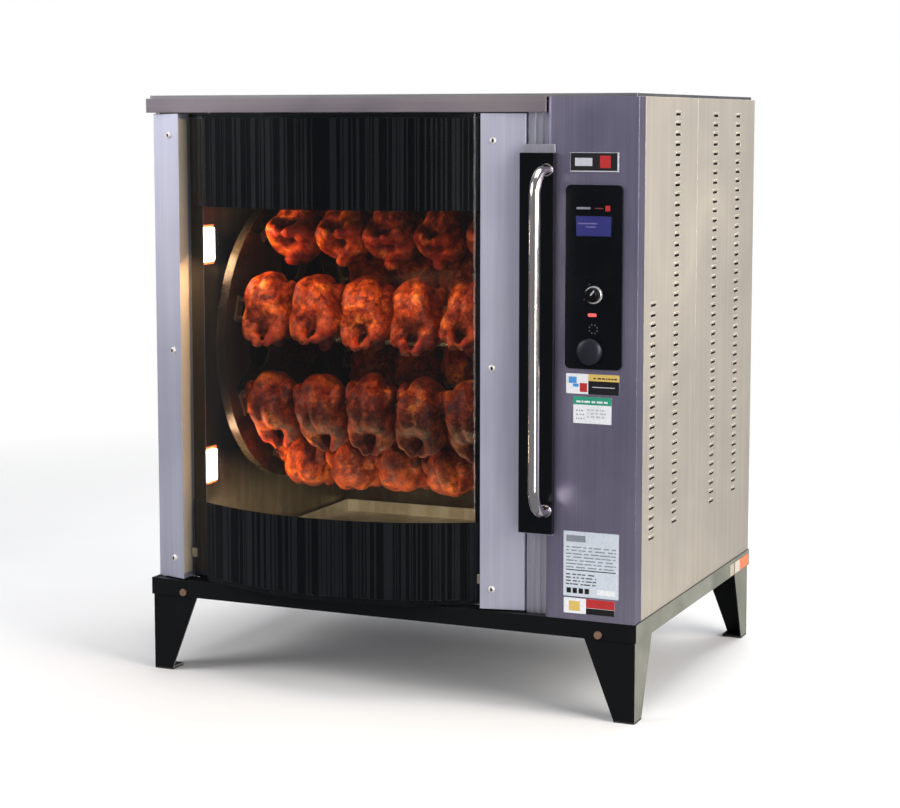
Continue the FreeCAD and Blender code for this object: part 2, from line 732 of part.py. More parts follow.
def to_rotor(shape, angle):
    """Move a shape, built along X with +Z pointing out of the rotor, to its place on the ring."""
    shape.translate(V(0, 0, number("spit_ring")))
    shape.rotate(V(0, 0, 0), V(1, 0, 0), 90 - angle)
    shape.translate(V(0, number("front + rotor_in"), number("rotor_up")))
    return shape


def one_spit():
    """Two prongs, a cross plate at each end and a tenon that sits in the disc."""
    left = number("disc_left + disc_t + 0.1")
    right = number("disc_right - disc_t - 0.1")
    half_gap = number("prong_gap") / 2
    plate_t = 5
    across_x = V(1, 0, 0)
    shape = None
    for side in (-1, 1):
        start = V(left + plate_t, side * half_gap, 0)
        prong = Part.makeCylinder(number("prong_rad"), right - left - 2 * plate_t, start, across_x)
        shape = prong if shape is None else shape.fuse(prong)
    for x, tenon_x in ((left, left - number("disc_t") - 4), (right - plate_t, right)):
        plate = Part.makeBox(plate_t, 2 * half_gap + 14, 20, V(x, -half_gap - 7, -10))
        tenon = Part.makeCylinder(number("tenon_rad"), number("disc_t") + 4, V(tenon_x, 0, 0), across_x)
        shape = shape.fuse(plate).fuse(tenon)
    return shape.removeSplitter()


def one_bird(x):
    """Trussed chicken as a barrel round the spit, bored for both prongs."""
    half, middle, end = (number(name) for name in ("bird_half", "bird_rad", "bird_end"))
    bulge = Part.Arc(V(-half, 0, end), V(0, 0, middle), V(half, 0, end)).toShape()
    corners = [V(half, 0, end), V(half, 0, 0), V(-half, 0, 0), V(-half, 0, end)]
    flats = [Part.LineSegment(a, b).toShape() for a, b in zip(corners, corners[1:])]
    barrel = Part.Face(Part.Wire([bulge] + flats)).revolve(V(0, 0, 0), V(1, 0, 0), 360)
    half_gap = number("prong_gap") / 2
    for side in (-1, 1):
        start = V(-half - 5, side * half_gap, 0)
        barrel = barrel.cut(Part.makeCylinder(number("prong_rad") + 0.3, 2 * half + 10, start, V(1, 0, 0)))
    barrel.translate(V(x, 0, 0))
    return barrel


def add_load():
    spits = doc.addObject("Part::Feature", "spit_set")
    spits.Shape = Part.Compound([to_rotor(one_spit(), angle) for angle in spit_angles()])
    node(spits, "spits")
    middle = (BIRDS_PER_SPIT - 1) / 2
    birds = []
    for angle in spit_angles():
        for i in range(BIRDS_PER_SPIT):
            x = number("bird_mid") + (i - middle) * number("bird_pitch")
            birds.append(to_rotor(one_bird(x), angle))
    load = doc.addObject("Part::Feature", "chicken_set")
    load.Shape = Part.Compound(birds)
    node(load, "chickens")


# Door: two canted hollow posts, end caps, two curved panes, seal, hinge, screws and handle.

def post_outlines(outer, inner):
    """Wall and hollow of a post whose outer edge lies back and whose lip reaches behind the glass."""
    inward = 1 if number(inner) > number(outer) else -1
    wall = [
        (outer, "front + post_cant"),
        (inner, "front"),
        (inner, "front + post_deep - 2"),
        (f"{inner} + {inward}*lip_w", "front + post_deep - 2"),
        (f"{inner} + {inward}*lip_w", "front + post_deep"),
        (outer, "front + post_deep"),
    ]
    hollow = [
        (f"{outer} + {inward}*skin", "front + post_cant + skin"),
        (f"{inner} - {inward}*skin", "front + 2*skin"),
        (f"{inner} - {inward}*skin", "front + post_deep - skin"),
        (f"{outer} + {inward}*skin", "front + post_deep - skin"),
    ]
    return wall, hollow


def pane(radius, thickness, x, low, high):
    """Upright curved pane about the glass axis between two x values."""
    start = ("glass_mid", "front + glass_axis", low)
    length = f"({high}) - ({low})"
    ring = cut(rod(radius, length, start), rod(f"{radius} - {thickness}", length, start))
    return common(ring, block(x, ("front - 80", "front + 120"), (low, high)))


def add_door_frame():
    height = ("door_low", "door_high")
    node(extrusion(*height, *post_outlines("door_left", "glass_left")), "door_post_left")
    node(extrusion(*height, *post_outlines("door_right", "glass_right")), "door_post_right")
    caps = []
    cap_x = ("glass_left + 0.3", "glass_right - 0.3")
    for low in ("door_low", "door_high - cap_t"):
        start = ("glass_mid", "front + glass_axis", low)
        sector = rod("outer_rad - pane_t - 0.3", "cap_t", start)
        cap_y = ("front - 80", "front + post_deep - 2.3")
        caps.append(common(sector, block(cap_x, cap_y, (low, f"{low} + cap_t"))))
    node(group(*caps), "door_caps")
    node(pane("outer_rad", "pane_t", cap_x, "door_low", "door_high"), "door_glass_outer")
    inner_x = ("glass_left + lip_w + 1", "glass_right - lip_w - 1")
    low = "door_low + cap_t + 0.3"
    high = "door_high - cap_t - 0.3"
    node(pane("inner_rad", "inner_t", inner_x, low, high), "door_glass_inner")

    seal_y = ("front + post_deep + 0.2", "front + frame_in - 0.3")
    outer = block(("glass_left - 22", "glass_right + 34"), seal_y, ("door_low + 2", "door_high - 2"))
    inner_y = ("front + post_deep - 2", "front + frame_in + 2")
    inner = block(("glass_left - 10", "glass_right + 22"), inner_y, ("door_low + 12", "door_high - 12"))
    node(cut(outer, inner), "door_seal")


def add_hinge():
    y = "front + hinge_in"
    blocks = []
    pins = []
    for low, high, pin_low in (
        ("door_low", "door_low + 20", "rail_top"),
        ("door_high - 20", "door_high", "door_high - 14"),
    ):
        body = block(("hinge_x - 5.5", "hinge_x + 20"), (f"{y} - 3.4", f"{y} + 22"), (low, high))
        bore = rod("pin_rad + run_gap", "40", ("hinge_x", y, f"{low} - 10"))
        blocks.append(cut(body, bore))
        pins.append(rod("pin_rad", "16", ("hinge_x", y, pin_low)))
    node(group(*blocks), "door_hinge_blocks")
    node(group(*pins), "hinge_pins")
    catch_x = ("door_right - 17", "door_right - 3")
    catch_y = ("front + post_deep + 1", "front + frame_in")
    node(block(catch_x, catch_y, ("rotor_up - 35", "rotor_up + 25")), "door_catch")


def add_screws():
    """Domed cap screws that stand square on the canted post faces."""
    heads = []
    for spots, outer, inner in (
        (HINGE_POST_SCREWS, "door_left", "glass_left"),
        (HANDLE_POST_SCREWS, "door_right", "glass_right"),
    ):
        run = number(f"{inner} - ({outer})")
        cant = number("post_cant")
        for x, z in spots:
            y = number("front") + cant * (number(inner) - x) / run
            turn = FreeCAD.Rotation(V(0, 0, 1), V(-cant * math.copysign(1, run), -abs(run), 0))
            screw = doc.addObject("Part::Cylinder", "screw")
            screw.Radius = 6
            screw.Height = 4
            screw.Placement = FreeCAD.Placement(V(x, y, z), turn)
            doc.recompute()
            dome = doc.addObject("Part::Fillet", "screw_dome")
            dome.Base = screw
            rims = []
            for index, edge in enumerate(screw.Shape.Edges, start=1):
                if len(edge.Vertexes) == 1 and edge.Curve.Center.sub(V(x, y, z)).Length > 2:
                    rims.append((index, 2.5, 2.5))
            dome.Edges = rims
            heads.append(dome)
    node(group(*heads), "post_screws")


def add_handle():
    face = ("front - plate_face", "front - 2.2")
    height = ("plate_low", "plate_high")
    plate = block(("door_right + 2", "plate_right"), face, height)
    strap_y = ("front - plate_face", "front + post_cant + 12")
    strap = block(("door_right + 0.2", "door_right + 2"), strap_y, height)
    node(fuse(plate, strap), "handle_plate")
    liner_x = ("door_right + 2.2", "plate_right - 2")
    liner = block(liner_x, ("front - 2", "front - 0.6"), ("plate_low - 4", "plate_high + 15"))
    node(liner, "handle_liner")

    body = doc.addObject("PartDesign::Body", "handle_body")
    path = new_sketch(body, "YZ_Plane")
    out = -number("grip_out")
    root = -number("plate_face")
    low = number("grip_low")
    high = number("grip_high")
    bend = number("grip_bend")
    elbow = out + bend
    quarter = bend * math.sqrt(0.5)
    lower = [V(elbow, low, 0), V(elbow - quarter, low + bend - quarter, 0), V(out, low + bend, 0)]
    upper = [V(out, high - bend, 0), V(elbow - quarter, high - bend + quarter, 0), V(elbow, high, 0)]
    for run in (
        Part.LineSegment(V(root, low, 0), lower[0]),
        Part.Arc(*lower),
        Part.LineSegment(lower[2], upper[0]),
        Part.Arc(*upper),
        Part.LineSegment(upper[2], V(root, high, 0)),
    ):
        path.addGeometry(run, False)
    ring = new_sketch(body, "XZ_Plane")
    ring.AttachmentOffset = FreeCAD.Placement(V(0, 0, -root), FreeCAD.Rotation())
    draw_circle(ring, ("0", "grip_low"), "grip_rad")
    pipe = body.newObject("PartDesign::AdditivePipe", "bar")
    pipe.Profile = ring
    pipe.Spine = (path, [f"Edge{i}" for i in range(1, 6)])
    bind(body, place=("grip_x", "front - 0.1", 0))
    node(body, "door_handle")


# Services: cable gland behind and the earth tag on the right base rail.

def add_services():
    start = "front + base_d - gland_seat"
    barrel = rod("gland_rad", "gland_out + gland_seat", ("gland_x", start, "gland_up"), "y")
    collar = rod("gland_rad + 5", "7", ("gland_x", "front + base_d", "gland_up"), "y")
    bore_length = "gland_out + gland_seat + 10"
    bore = rod("gland_bore", bore_length, ("gland_x", f"{start} - 5", "gland_up"), "y")
    node(cut(fuse(barrel, collar), bore), "cable_gland")
    tag_y = ("front + base_d - 143", "front + base_d - 8")
    tag = block(("base_w/2", "base_w/2 + 1"), tag_y, ("rail_low + 2", "rail_top - 8"))
    node(tag, "earth_tag")


def check_document():
    doc.recompute()
    for thing in doc.Objects:
        bad = [state for state in thing.State if state in ("Invalid", "Error")]
        if bad:
            raise RuntimeError(f"{thing.Label}: {bad}")
    for thing in nodes:
        if thing.Shape.isNull() or not thing.Shape.isValid() or not thing.Shape.Solids:
            raise RuntimeError(f"{thing.Label}: bad shape")


def export_nodes():
    os.makedirs("parts", exist_ok=True)
    for thing in nodes:
        thing.Shape.exportStep(f"parts/{thing.Label}.step")
        box = thing.Shape.BoundBox
        print(f"{thing.Label:20s} solids {len(thing.Shape.Solids):3d}  "
              f"x {box.XMin:8.1f} {box.XMax:8.1f}  y {box.YMin:8.1f} {box.YMax:8.1f}  "
              f"z {box.ZMin:8.1f} {box.ZMax:8.1f}")
    print(len(nodes), "nodes")


add_base()
add_legs()
add_side_panels()
add_covers()
add_front()
add_column()
add_controls()
add_knobs()
add_cavity()
add_fan()
add_drive()
add_rotor()
add_load()
add_door_frame()
add_hinge()
add_screws()
add_handle()
add_services()
check_document()
export_nodes()
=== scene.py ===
import math
import random

import bmesh
import bpy
from mathutils import Matrix, Vector, noise


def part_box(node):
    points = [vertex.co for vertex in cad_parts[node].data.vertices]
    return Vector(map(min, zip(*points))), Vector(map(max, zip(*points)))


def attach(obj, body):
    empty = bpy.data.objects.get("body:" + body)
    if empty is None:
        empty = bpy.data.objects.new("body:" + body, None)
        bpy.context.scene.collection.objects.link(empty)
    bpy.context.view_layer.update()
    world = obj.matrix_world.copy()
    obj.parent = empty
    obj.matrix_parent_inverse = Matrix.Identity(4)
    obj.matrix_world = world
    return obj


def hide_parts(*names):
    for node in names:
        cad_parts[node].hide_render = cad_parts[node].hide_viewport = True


# Looks of the countertop rotisserie oven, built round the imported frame. Metres, +Z up, front towards -Y.

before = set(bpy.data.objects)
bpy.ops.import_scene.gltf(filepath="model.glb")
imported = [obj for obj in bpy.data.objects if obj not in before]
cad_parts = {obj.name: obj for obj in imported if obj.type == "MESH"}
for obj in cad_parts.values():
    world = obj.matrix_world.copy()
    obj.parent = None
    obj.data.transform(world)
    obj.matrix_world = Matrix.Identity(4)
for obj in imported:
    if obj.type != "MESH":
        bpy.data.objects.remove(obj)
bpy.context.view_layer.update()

MM = 0.001
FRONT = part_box("column_panel")[0].y

# Rotor: its axis, the ring of spits, the first spit's angle in degrees and the birds' spacing.
ROTOR_AXIS = sum(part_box("rotor_shaft"), Vector()) / 2
SPIT_RING = 0.250
SPIT_PHASE = 17.0
SPITS = 8
BIRDS_PER_SPIT = 5
BIRD_PITCH = 0.1075
BIRD_SHAPES = 5

# Door: the glass arc's axis and radius, the heights between which the window is clear, the glass
# clamps' height, and how far each post's outer edge lies back over the post's width.
GLASS_MID = -0.115
GLASS_AXIS = FRONT + 0.498
OUTER_RAD = 0.560
WINDOW_LOW, WINDOW_HIGH = 0.340, 0.916
CLAMP_UP = 0.235
POST_CANT = 0.017
HINGE_POST_W, HANDLE_POST_W = 0.064, 0.081

# Vent columns of a side panel: depth of the column's middle, lowest slot, number of slots.
LOUVRES = [(0.090, 0.326, 24), (0.226, 0.334, 42), (0.468, 0.332, 42), (0.625, 0.331, 42)]
LOUVRE_STEP = 0.0185

LAMP_HEIGHTS = (0.395, 0.836)
FLOOR_RADIUS = 3.4


# Materials. Every one is a node graph in object space, so nothing depends on UVs or on the view.

def tone(red, green, blue):
    """Linear colour from 0-255 display values."""
    def linear(value):
        value /= 255
        return value / 12.92 if value <= 0.04045 else ((value + 0.055) / 1.055) ** 2.4
    return (linear(red), linear(green), linear(blue), 1.0)


class Graph:
    """One material's node tree with short calls for the nodes that the materials share."""

    def __init__(self, name):
        self.material = bpy.data.materials.new(name)
        self.material.use_nodes = True
        self.tree = self.material.node_tree
        self.shader = self.tree.nodes["Principled BSDF"]
        self.output = self.tree.nodes["Material Output"]
        self.here = self.add("TexCoord").outputs["Object"]

    def add(self, kind, inputs=None, **settings):
        made = self.tree.nodes.new("ShaderNode" + kind)
        for key, value in settings.items():
            setattr(made, key, value)
        for key, value in (inputs or {}).items():
            self.feed(made.inputs[key], value)
        return made

    def feed(self, socket, value):
        if isinstance(value, bpy.types.NodeSocket):
            self.tree.links.new(value, socket)
        else:
            socket.default_value = value

    def set(self, **values):
        """Sockets of the main shader, with underscores for spaces."""
        for key, value in values.items():
            self.feed(self.shader.inputs[key.replace("_", " ")], value)

    def stretched(self, scale):
        return self.add("Mapping", {"Vector": self.here, "Scale": scale}).outputs["Vector"]

    def noise(self, scale, detail=3.0, rough=0.55, at=None, distortion=0.0):
        inputs = {"Scale": scale, "Detail": detail, "Roughness": rough, "Distortion": distortion}
        inputs["Vector"] = at or self.here
        return self.add("TexNoise", inputs).outputs["Fac"]

    def span(self, value, low, high, from_low=0.0, from_high=1.0):
        inputs = {"Value": value, "From Min": from_low, "From Max": from_high, "To Min": low, "To Max": high}
        return self.add("MapRange", inputs).outputs["Result"]

    def ramp(self, value, *stops):
        made = self.add("ValToRGB", {"Fac": value})
        band = made.color_ramp
        while len(band.elements) < len(stops):
            band.elements.new(0.5)
        for element, (place, colour) in zip(band.elements, stops):
            element.position = place
            element.color = colour
        return made.outputs["Color"]

    def mix(self, share, first, second, blend="MIX"):
        made = self.add("Mix", data_type="RGBA", blend_type=blend)
        self.feed(made.inputs["Factor"], share)
        self.feed(made.inputs["A"], first)
        self.feed(made.inputs["B"], second)
        return made.outputs["Result"]

    def math(self, operation, first, second=0.0):
        made = self.add("Math", operation=operation)
        self.feed(made.inputs[0], first)
        self.feed(made.inputs[1], second)
        return made.outputs["Value"]

    def along(self, axis):
        return self.add("SeparateXYZ", {"Vector": self.here}).outputs[axis]

    def bump(self, height, strength, distance, under=None):
        inputs = {"Height": height, "Strength": strength, "Distance": distance}
        if under is not None:
            inputs["Normal"] = under
        return self.add("Bump", inputs).outputs["Normal"]

    def soft_edges(self, radius):
        return self.add("Bevel", {"Radius": radius}, samples=4).outputs["Normal"]


GRAIN = {"x": (3.0, 900.0, 900.0), "y": (900.0, 3.0, 900.0), "z": (900.0, 900.0, 3.0)}


def brushed(name, colour, rough=0.34, grain="z", streak=0.10, smudge=0.08, metal=1.0, drift=0.07):
    """Brushed stainless steel with grain along one axis, cloudy smudges and fine scratches."""
    g = Graph(name)
    fine = g.noise(1.0, 4.0, 0.6, g.stretched(GRAIN[grain]))
    broad = g.noise(1.0, 2.0, 0.5, g.stretched([60.0 if v > 100 else 1.2 for v in GRAIN[grain]]))
    cloud = g.noise(3.0, 4.0, 0.6, distortion=0.6)
    dark = [c * (1 - streak) for c in colour[:3]] + [1.0]
    light = [min(1.0, c * (1 + streak)) for c in colour[:3]] + [1.0]
    streaked = g.mix(g.span(fine, 0.0, 1.0, 0.3, 0.7), dark, light)
    broad_tint = g.ramp(broad, (0.35, (0.93, 0.93, 0.94, 1)), (0.65, (1.0, 1.0, 1.0, 1)))
    base = g.mix(1.0, streaked, broad_tint, "MULTIPLY")
    cool = (1 - drift, 1 - drift, 1 - drift * 0.8, 1)
    cloud_tint = g.ramp(cloud, (0.32, cool), (0.68, (1.0, 1.0 - drift * 0.1, 1.0 - drift * 0.35, 1)))
    g.set(Base_Color=g.mix(1.0, base, cloud_tint, "MULTIPLY"), Metallic=metal, Anisotropic=0.3)
    blur = g.span(cloud, rough - smudge, rough + smudge, 0.3, 0.7)
    g.set(Roughness=g.math("ADD", blur, g.span(fine, -0.04, 0.04)))
    g.set(Normal=g.bump(fine, 0.05, 0.0004, g.soft_edges(0.0012)))
    return g.material


def painted(name, colour, rough=0.42, orange_peel=0.15, dust=0.12, edge=0.0012, shine=0.5):
    """Powder coat or moulded plastic: fine orange peel, dusty patches and slightly rubbed edges."""
    g = Graph(name)
    peel = g.noise(900.0, 2.0, 0.5)
    patch = g.noise(9.0, 5.0, 0.62, distortion=0.4)
    dusty = [min(1.0, c + dust * 0.12) for c in colour[:3]] + [1.0]
    g.set(Base_Color=g.mix(g.span(patch, 0.0, 1.0, 0.35, 0.75), colour, dusty))
    g.set(Roughness=g.span(patch, rough - 0.05, rough + 0.12, 0.3, 0.75))
    g.set(Normal=g.bump(peel, orange_peel, 0.0003, g.soft_edges(edge)))
    g.set(Specular_IOR_Level=shine)
    return g.material


def polished(name, colour, rough):
    """Bright chrome with faint wipe marks."""
    g = Graph(name)
    wipe = g.noise(18.0, 5.0, 0.65, distortion=1.2)
    hair = g.noise(1.0, 3.0, 0.6, g.stretched((700.0, 700.0, 25.0)))
    tint = g.ramp(wipe, (0.3, [c * 0.93 for c in colour[:3]] + [1]), (0.7, colour))
    g.set(Base_Color=tint, Metallic=1.0)
    blur = g.span(wipe, rough - 0.03, rough + 0.08, 0.3, 0.7)
    g.set(Roughness=g.math("ADD", blur, g.span(hair, -0.015, 0.015)))
    g.set(Normal=g.bump(hair, 0.03, 0.0003, g.soft_edges(0.0008)))
    return g.material


def clear_pane(name, tint, haze):
    """Thin glass: shows and lights what is behind it, mirrors the room and carries faint smears."""
    g = Graph(name)
    smear = g.noise(7.0, 6.0, 0.65, g.stretched((1.0, 1.0, 0.45)), 0.8)
    see = g.add("BsdfTransparent", {"Color": tint})
    blur = g.span(smear, 0.01, 0.07, 0.4, 0.75)
    mirror = g.add("BsdfGlossy", {"Color": (1, 1, 1, 1), "Roughness": blur})
    film = g.add("BsdfDiffuse", {"Color": tone(120, 118, 116)})
    front = g.math("SUBTRACT", 1.0, g.add("NewGeometry").outputs["Backfacing"])
    gloss = g.math("MULTIPLY", g.add("Fresnel", {"IOR": 1.3}).outputs["Fac"], front)
    clean = g.add("MixShader", {0: gloss, 1: see.outputs["BSDF"], 2: mirror.outputs["BSDF"]})
    share = g.span(smear, 0.0, haze, 0.35, 0.8)
    whole = g.add("MixShader", {0: share, 1: clean.outputs["Shader"], 2: film.outputs["BSDF"]})
    g.feed(g.output.inputs["Surface"], whole.outputs["Shader"])
    return g.material


def glowing(name, colour, strength, ripple=0.15, scale=40.0):
    """Lit surface with a slightly uneven glow."""
    g = Graph(name)
    cloud = g.noise(scale, 3.0)
    glow = g.mix(g.span(cloud, 0.0, ripple, 0.3, 0.7), colour, (1, 1, 1, 1))
    g.set(Base_Color=colour, Emission_Color=glow, Emission_Strength=strength, Roughness=0.35)
    g.set(Normal=g.bump(cloud, 0.05, 0.0005))
    return g.material


def plain_print(name, colour, rough=0.38):
    """Printed film: slight mottling under a satin laminate."""
    g = Graph(name)
    mottle = g.noise(260.0, 4.0, 0.7)
    shade = [c * 0.86 for c in colour[:3]] + [1.0]
    g.set(Base_Color=g.mix(g.span(mottle, 0.0, 1.0, 0.35, 0.65), colour, shade))
    g.set(Roughness=g.span(mottle, rough - 0.06, rough + 0.08), Coat_Weight=0.25, Coat_Roughness=0.2)
    g.set(Normal=g.bump(mottle, 0.04, 0.0002))
    return g.material


def roast_skin():
    """Roasted skin: golden to deep red-brown blotches, charred tips, painted shade in the cavity, wrinkles
    and glistening fat.
    """
    g = Graph("roast_skin")
    blotch = g.noise(20.0, 5.0, 0.62, distortion=0.8)
    speck = g.noise(75.0, 5.0, 0.72)
    crisp = g.noise(240.0, 4.0, 0.66)
    base = g.ramp(
        blotch,
        (0.30, (0.050, 0.005, 0.002, 1)),
        (0.43, (0.190, 0.022, 0.004, 1)),
        (0.56, (0.360, 0.066, 0.009, 1)),
        (0.70, (0.640, 0.225, 0.032, 1)),
    )
    freckle = g.ramp(speck, (0.40, (0.20, 0.09, 0.06, 1)), (0.58, (1.2, 1.1, 1.0, 1)))
    grainy = g.ramp(crisp, (0.38, (0.45, 0.30, 0.24, 1)), (0.60, (1.15, 1.1, 1.05, 1)))
    spotted = g.mix(0.85, g.mix(0.7, base, grainy, "MULTIPLY"), freckle, "MULTIPLY")
    # This attribute holds charring and, as painted shade, the cavity hole; both turn the skin near black.
    char_and_shade = g.add("Attribute", attribute_name="char_and_shade").outputs["Fac"]
    edge = g.math("ADD", char_and_shade, g.span(speck, -0.25, 0.25))
    burnt_and_shaded = g.mix(g.span(edge, 0.0, 1.0, 0.25, 0.85), spotted, (0.020, 0.007, 0.004, 1))
    red = g.add("Attribute", attribute_name="red").outputs["Fac"]
    g.set(Base_Color=g.mix(g.span(red, 0.0, 0.7), burnt_and_shaded, (0.30, 0.020, 0.008, 1)))
    g.set(Subsurface_Weight=0.06, Subsurface_Scale=0.004, Coat_Weight=0.12, Coat_Roughness=0.26)
    g.set(Roughness=g.span(speck, 0.34, 0.62, 0.3, 0.7))
    wrinkle = g.add("TexVoronoi", {"Vector": g.here, "Scale": 210.0}, feature="SMOOTH_F1").outputs["Distance"]
    folds = g.bump(blotch, 0.35, 0.012)
    g.set(Normal=g.bump(crisp, 0.35, 0.0014, g.bump(wrinkle, 0.5, 0.0018, folds)))
    return g.material


def heat_tinted(name, colour, soot, rough=0.36, shade_band=None, metal=0.85):
    """Oven steel with a baked-on brown haze; given two heights, painted shade turns it near black between
    them.
    """
    g = Graph(name)
    haze = g.noise(4.0, 6.0, 0.66, distortion=0.7)
    drip = g.noise(1.0, 4.0, 0.6, g.stretched((28.0, 28.0, 3.0)))
    fine = g.noise(1.0, 3.0, 0.6, g.stretched((500.0, 500.0, 8.0)))
    stained = g.mix(g.span(haze, 0.0, soot, 0.38, 0.72), colour, (0.10, 0.060, 0.028, 1))
    runs = g.ramp(drip, (0.42, (0.72, 0.66, 0.56, 1)), (0.58, (1, 1, 1, 1)))
    stains_and_shade = g.mix(0.7, stained, runs, "MULTIPLY")
    if shade_band:
        # Painted shade: near black between the two heights, the edges blurred by the haze noise.
        low, high = shade_band
        height = g.math("ADD", g.along("Z"), g.span(haze, -0.04, 0.04))
        above = g.span(height, 0.0, 1.0, low - 0.05, low + 0.05)
        below = g.span(height, 1.0, 0.0, high - 0.04, high + 0.04)
        stains_and_shade = g.mix(g.math("MULTIPLY", above, below), stains_and_shade, (0.010, 0.010, 0.011, 1))
    g.set(Base_Color=stains_and_shade, Metallic=metal)
    g.set(Roughness=g.span(haze, rough - 0.1, rough + 0.16, 0.3, 0.7))
    g.set(Normal=g.bump(fine, 0.06, 0.0005, g.bump(drip, 0.04, 0.002)))
    return g.material


def base_paint_with_painted_sheen():
    """Satin black paint with a painted sheen: the faces turned to +X, towards the fill light, are coloured a
    patchy light grey.
    """
    g = Graph("base_paint")
    peel = g.noise(900.0, 2.0, 0.5)
    patch = g.noise(9.0, 5.0, 0.62, distortion=0.4)
    across = g.add("SeparateXYZ", {"Vector": g.add("NewGeometry").outputs["Normal"]}).outputs["X"]
    # Painted sheen: a lighter grey blended in by the X part of the surface normal.
    painted_sheen = g.mix(g.span(patch, 0.0, 1.0, 0.3, 0.7), tone(108, 110, 102), tone(138, 139, 130))
    g.set(Base_Color=g.mix(g.span(across, 0.0, 1.0, 0.4, 0.9), (0.0035, 0.0040, 0.0048, 1), painted_sheen))
    g.set(Roughness=g.span(patch, 0.34, 0.52, 0.3, 0.75), Specular_IOR_Level=0.2)
    g.set(Normal=g.bump(peel, 0.12, 0.0003, g.soft_edges(0.0012)))
    return g.material


def banded_tag():
    """Plastic tag with plain coloured fields along its length."""
    g = Graph("earth_tag")
    low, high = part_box("earth_tag")
    place = g.span(g.along("Y"), 0.0, 1.0, low.y, high.y)
    made = g.ramp(
        place,
        (0.0, tone(188, 176, 160)),
        (0.20, tone(60, 50, 44)),
        (0.24, tone(206, 198, 186)),
        (0.50, tone(220, 128, 90)),
    )
    made.node.color_ramp.interpolation = "CONSTANT"
    mottle = g.noise(260.0, 4.0, 0.7)
    g.set(Base_Color=made, Roughness=g.span(mottle, 0.34, 0.5), Normal=g.bump(mottle, 0.05, 0.0003))
    return g.material


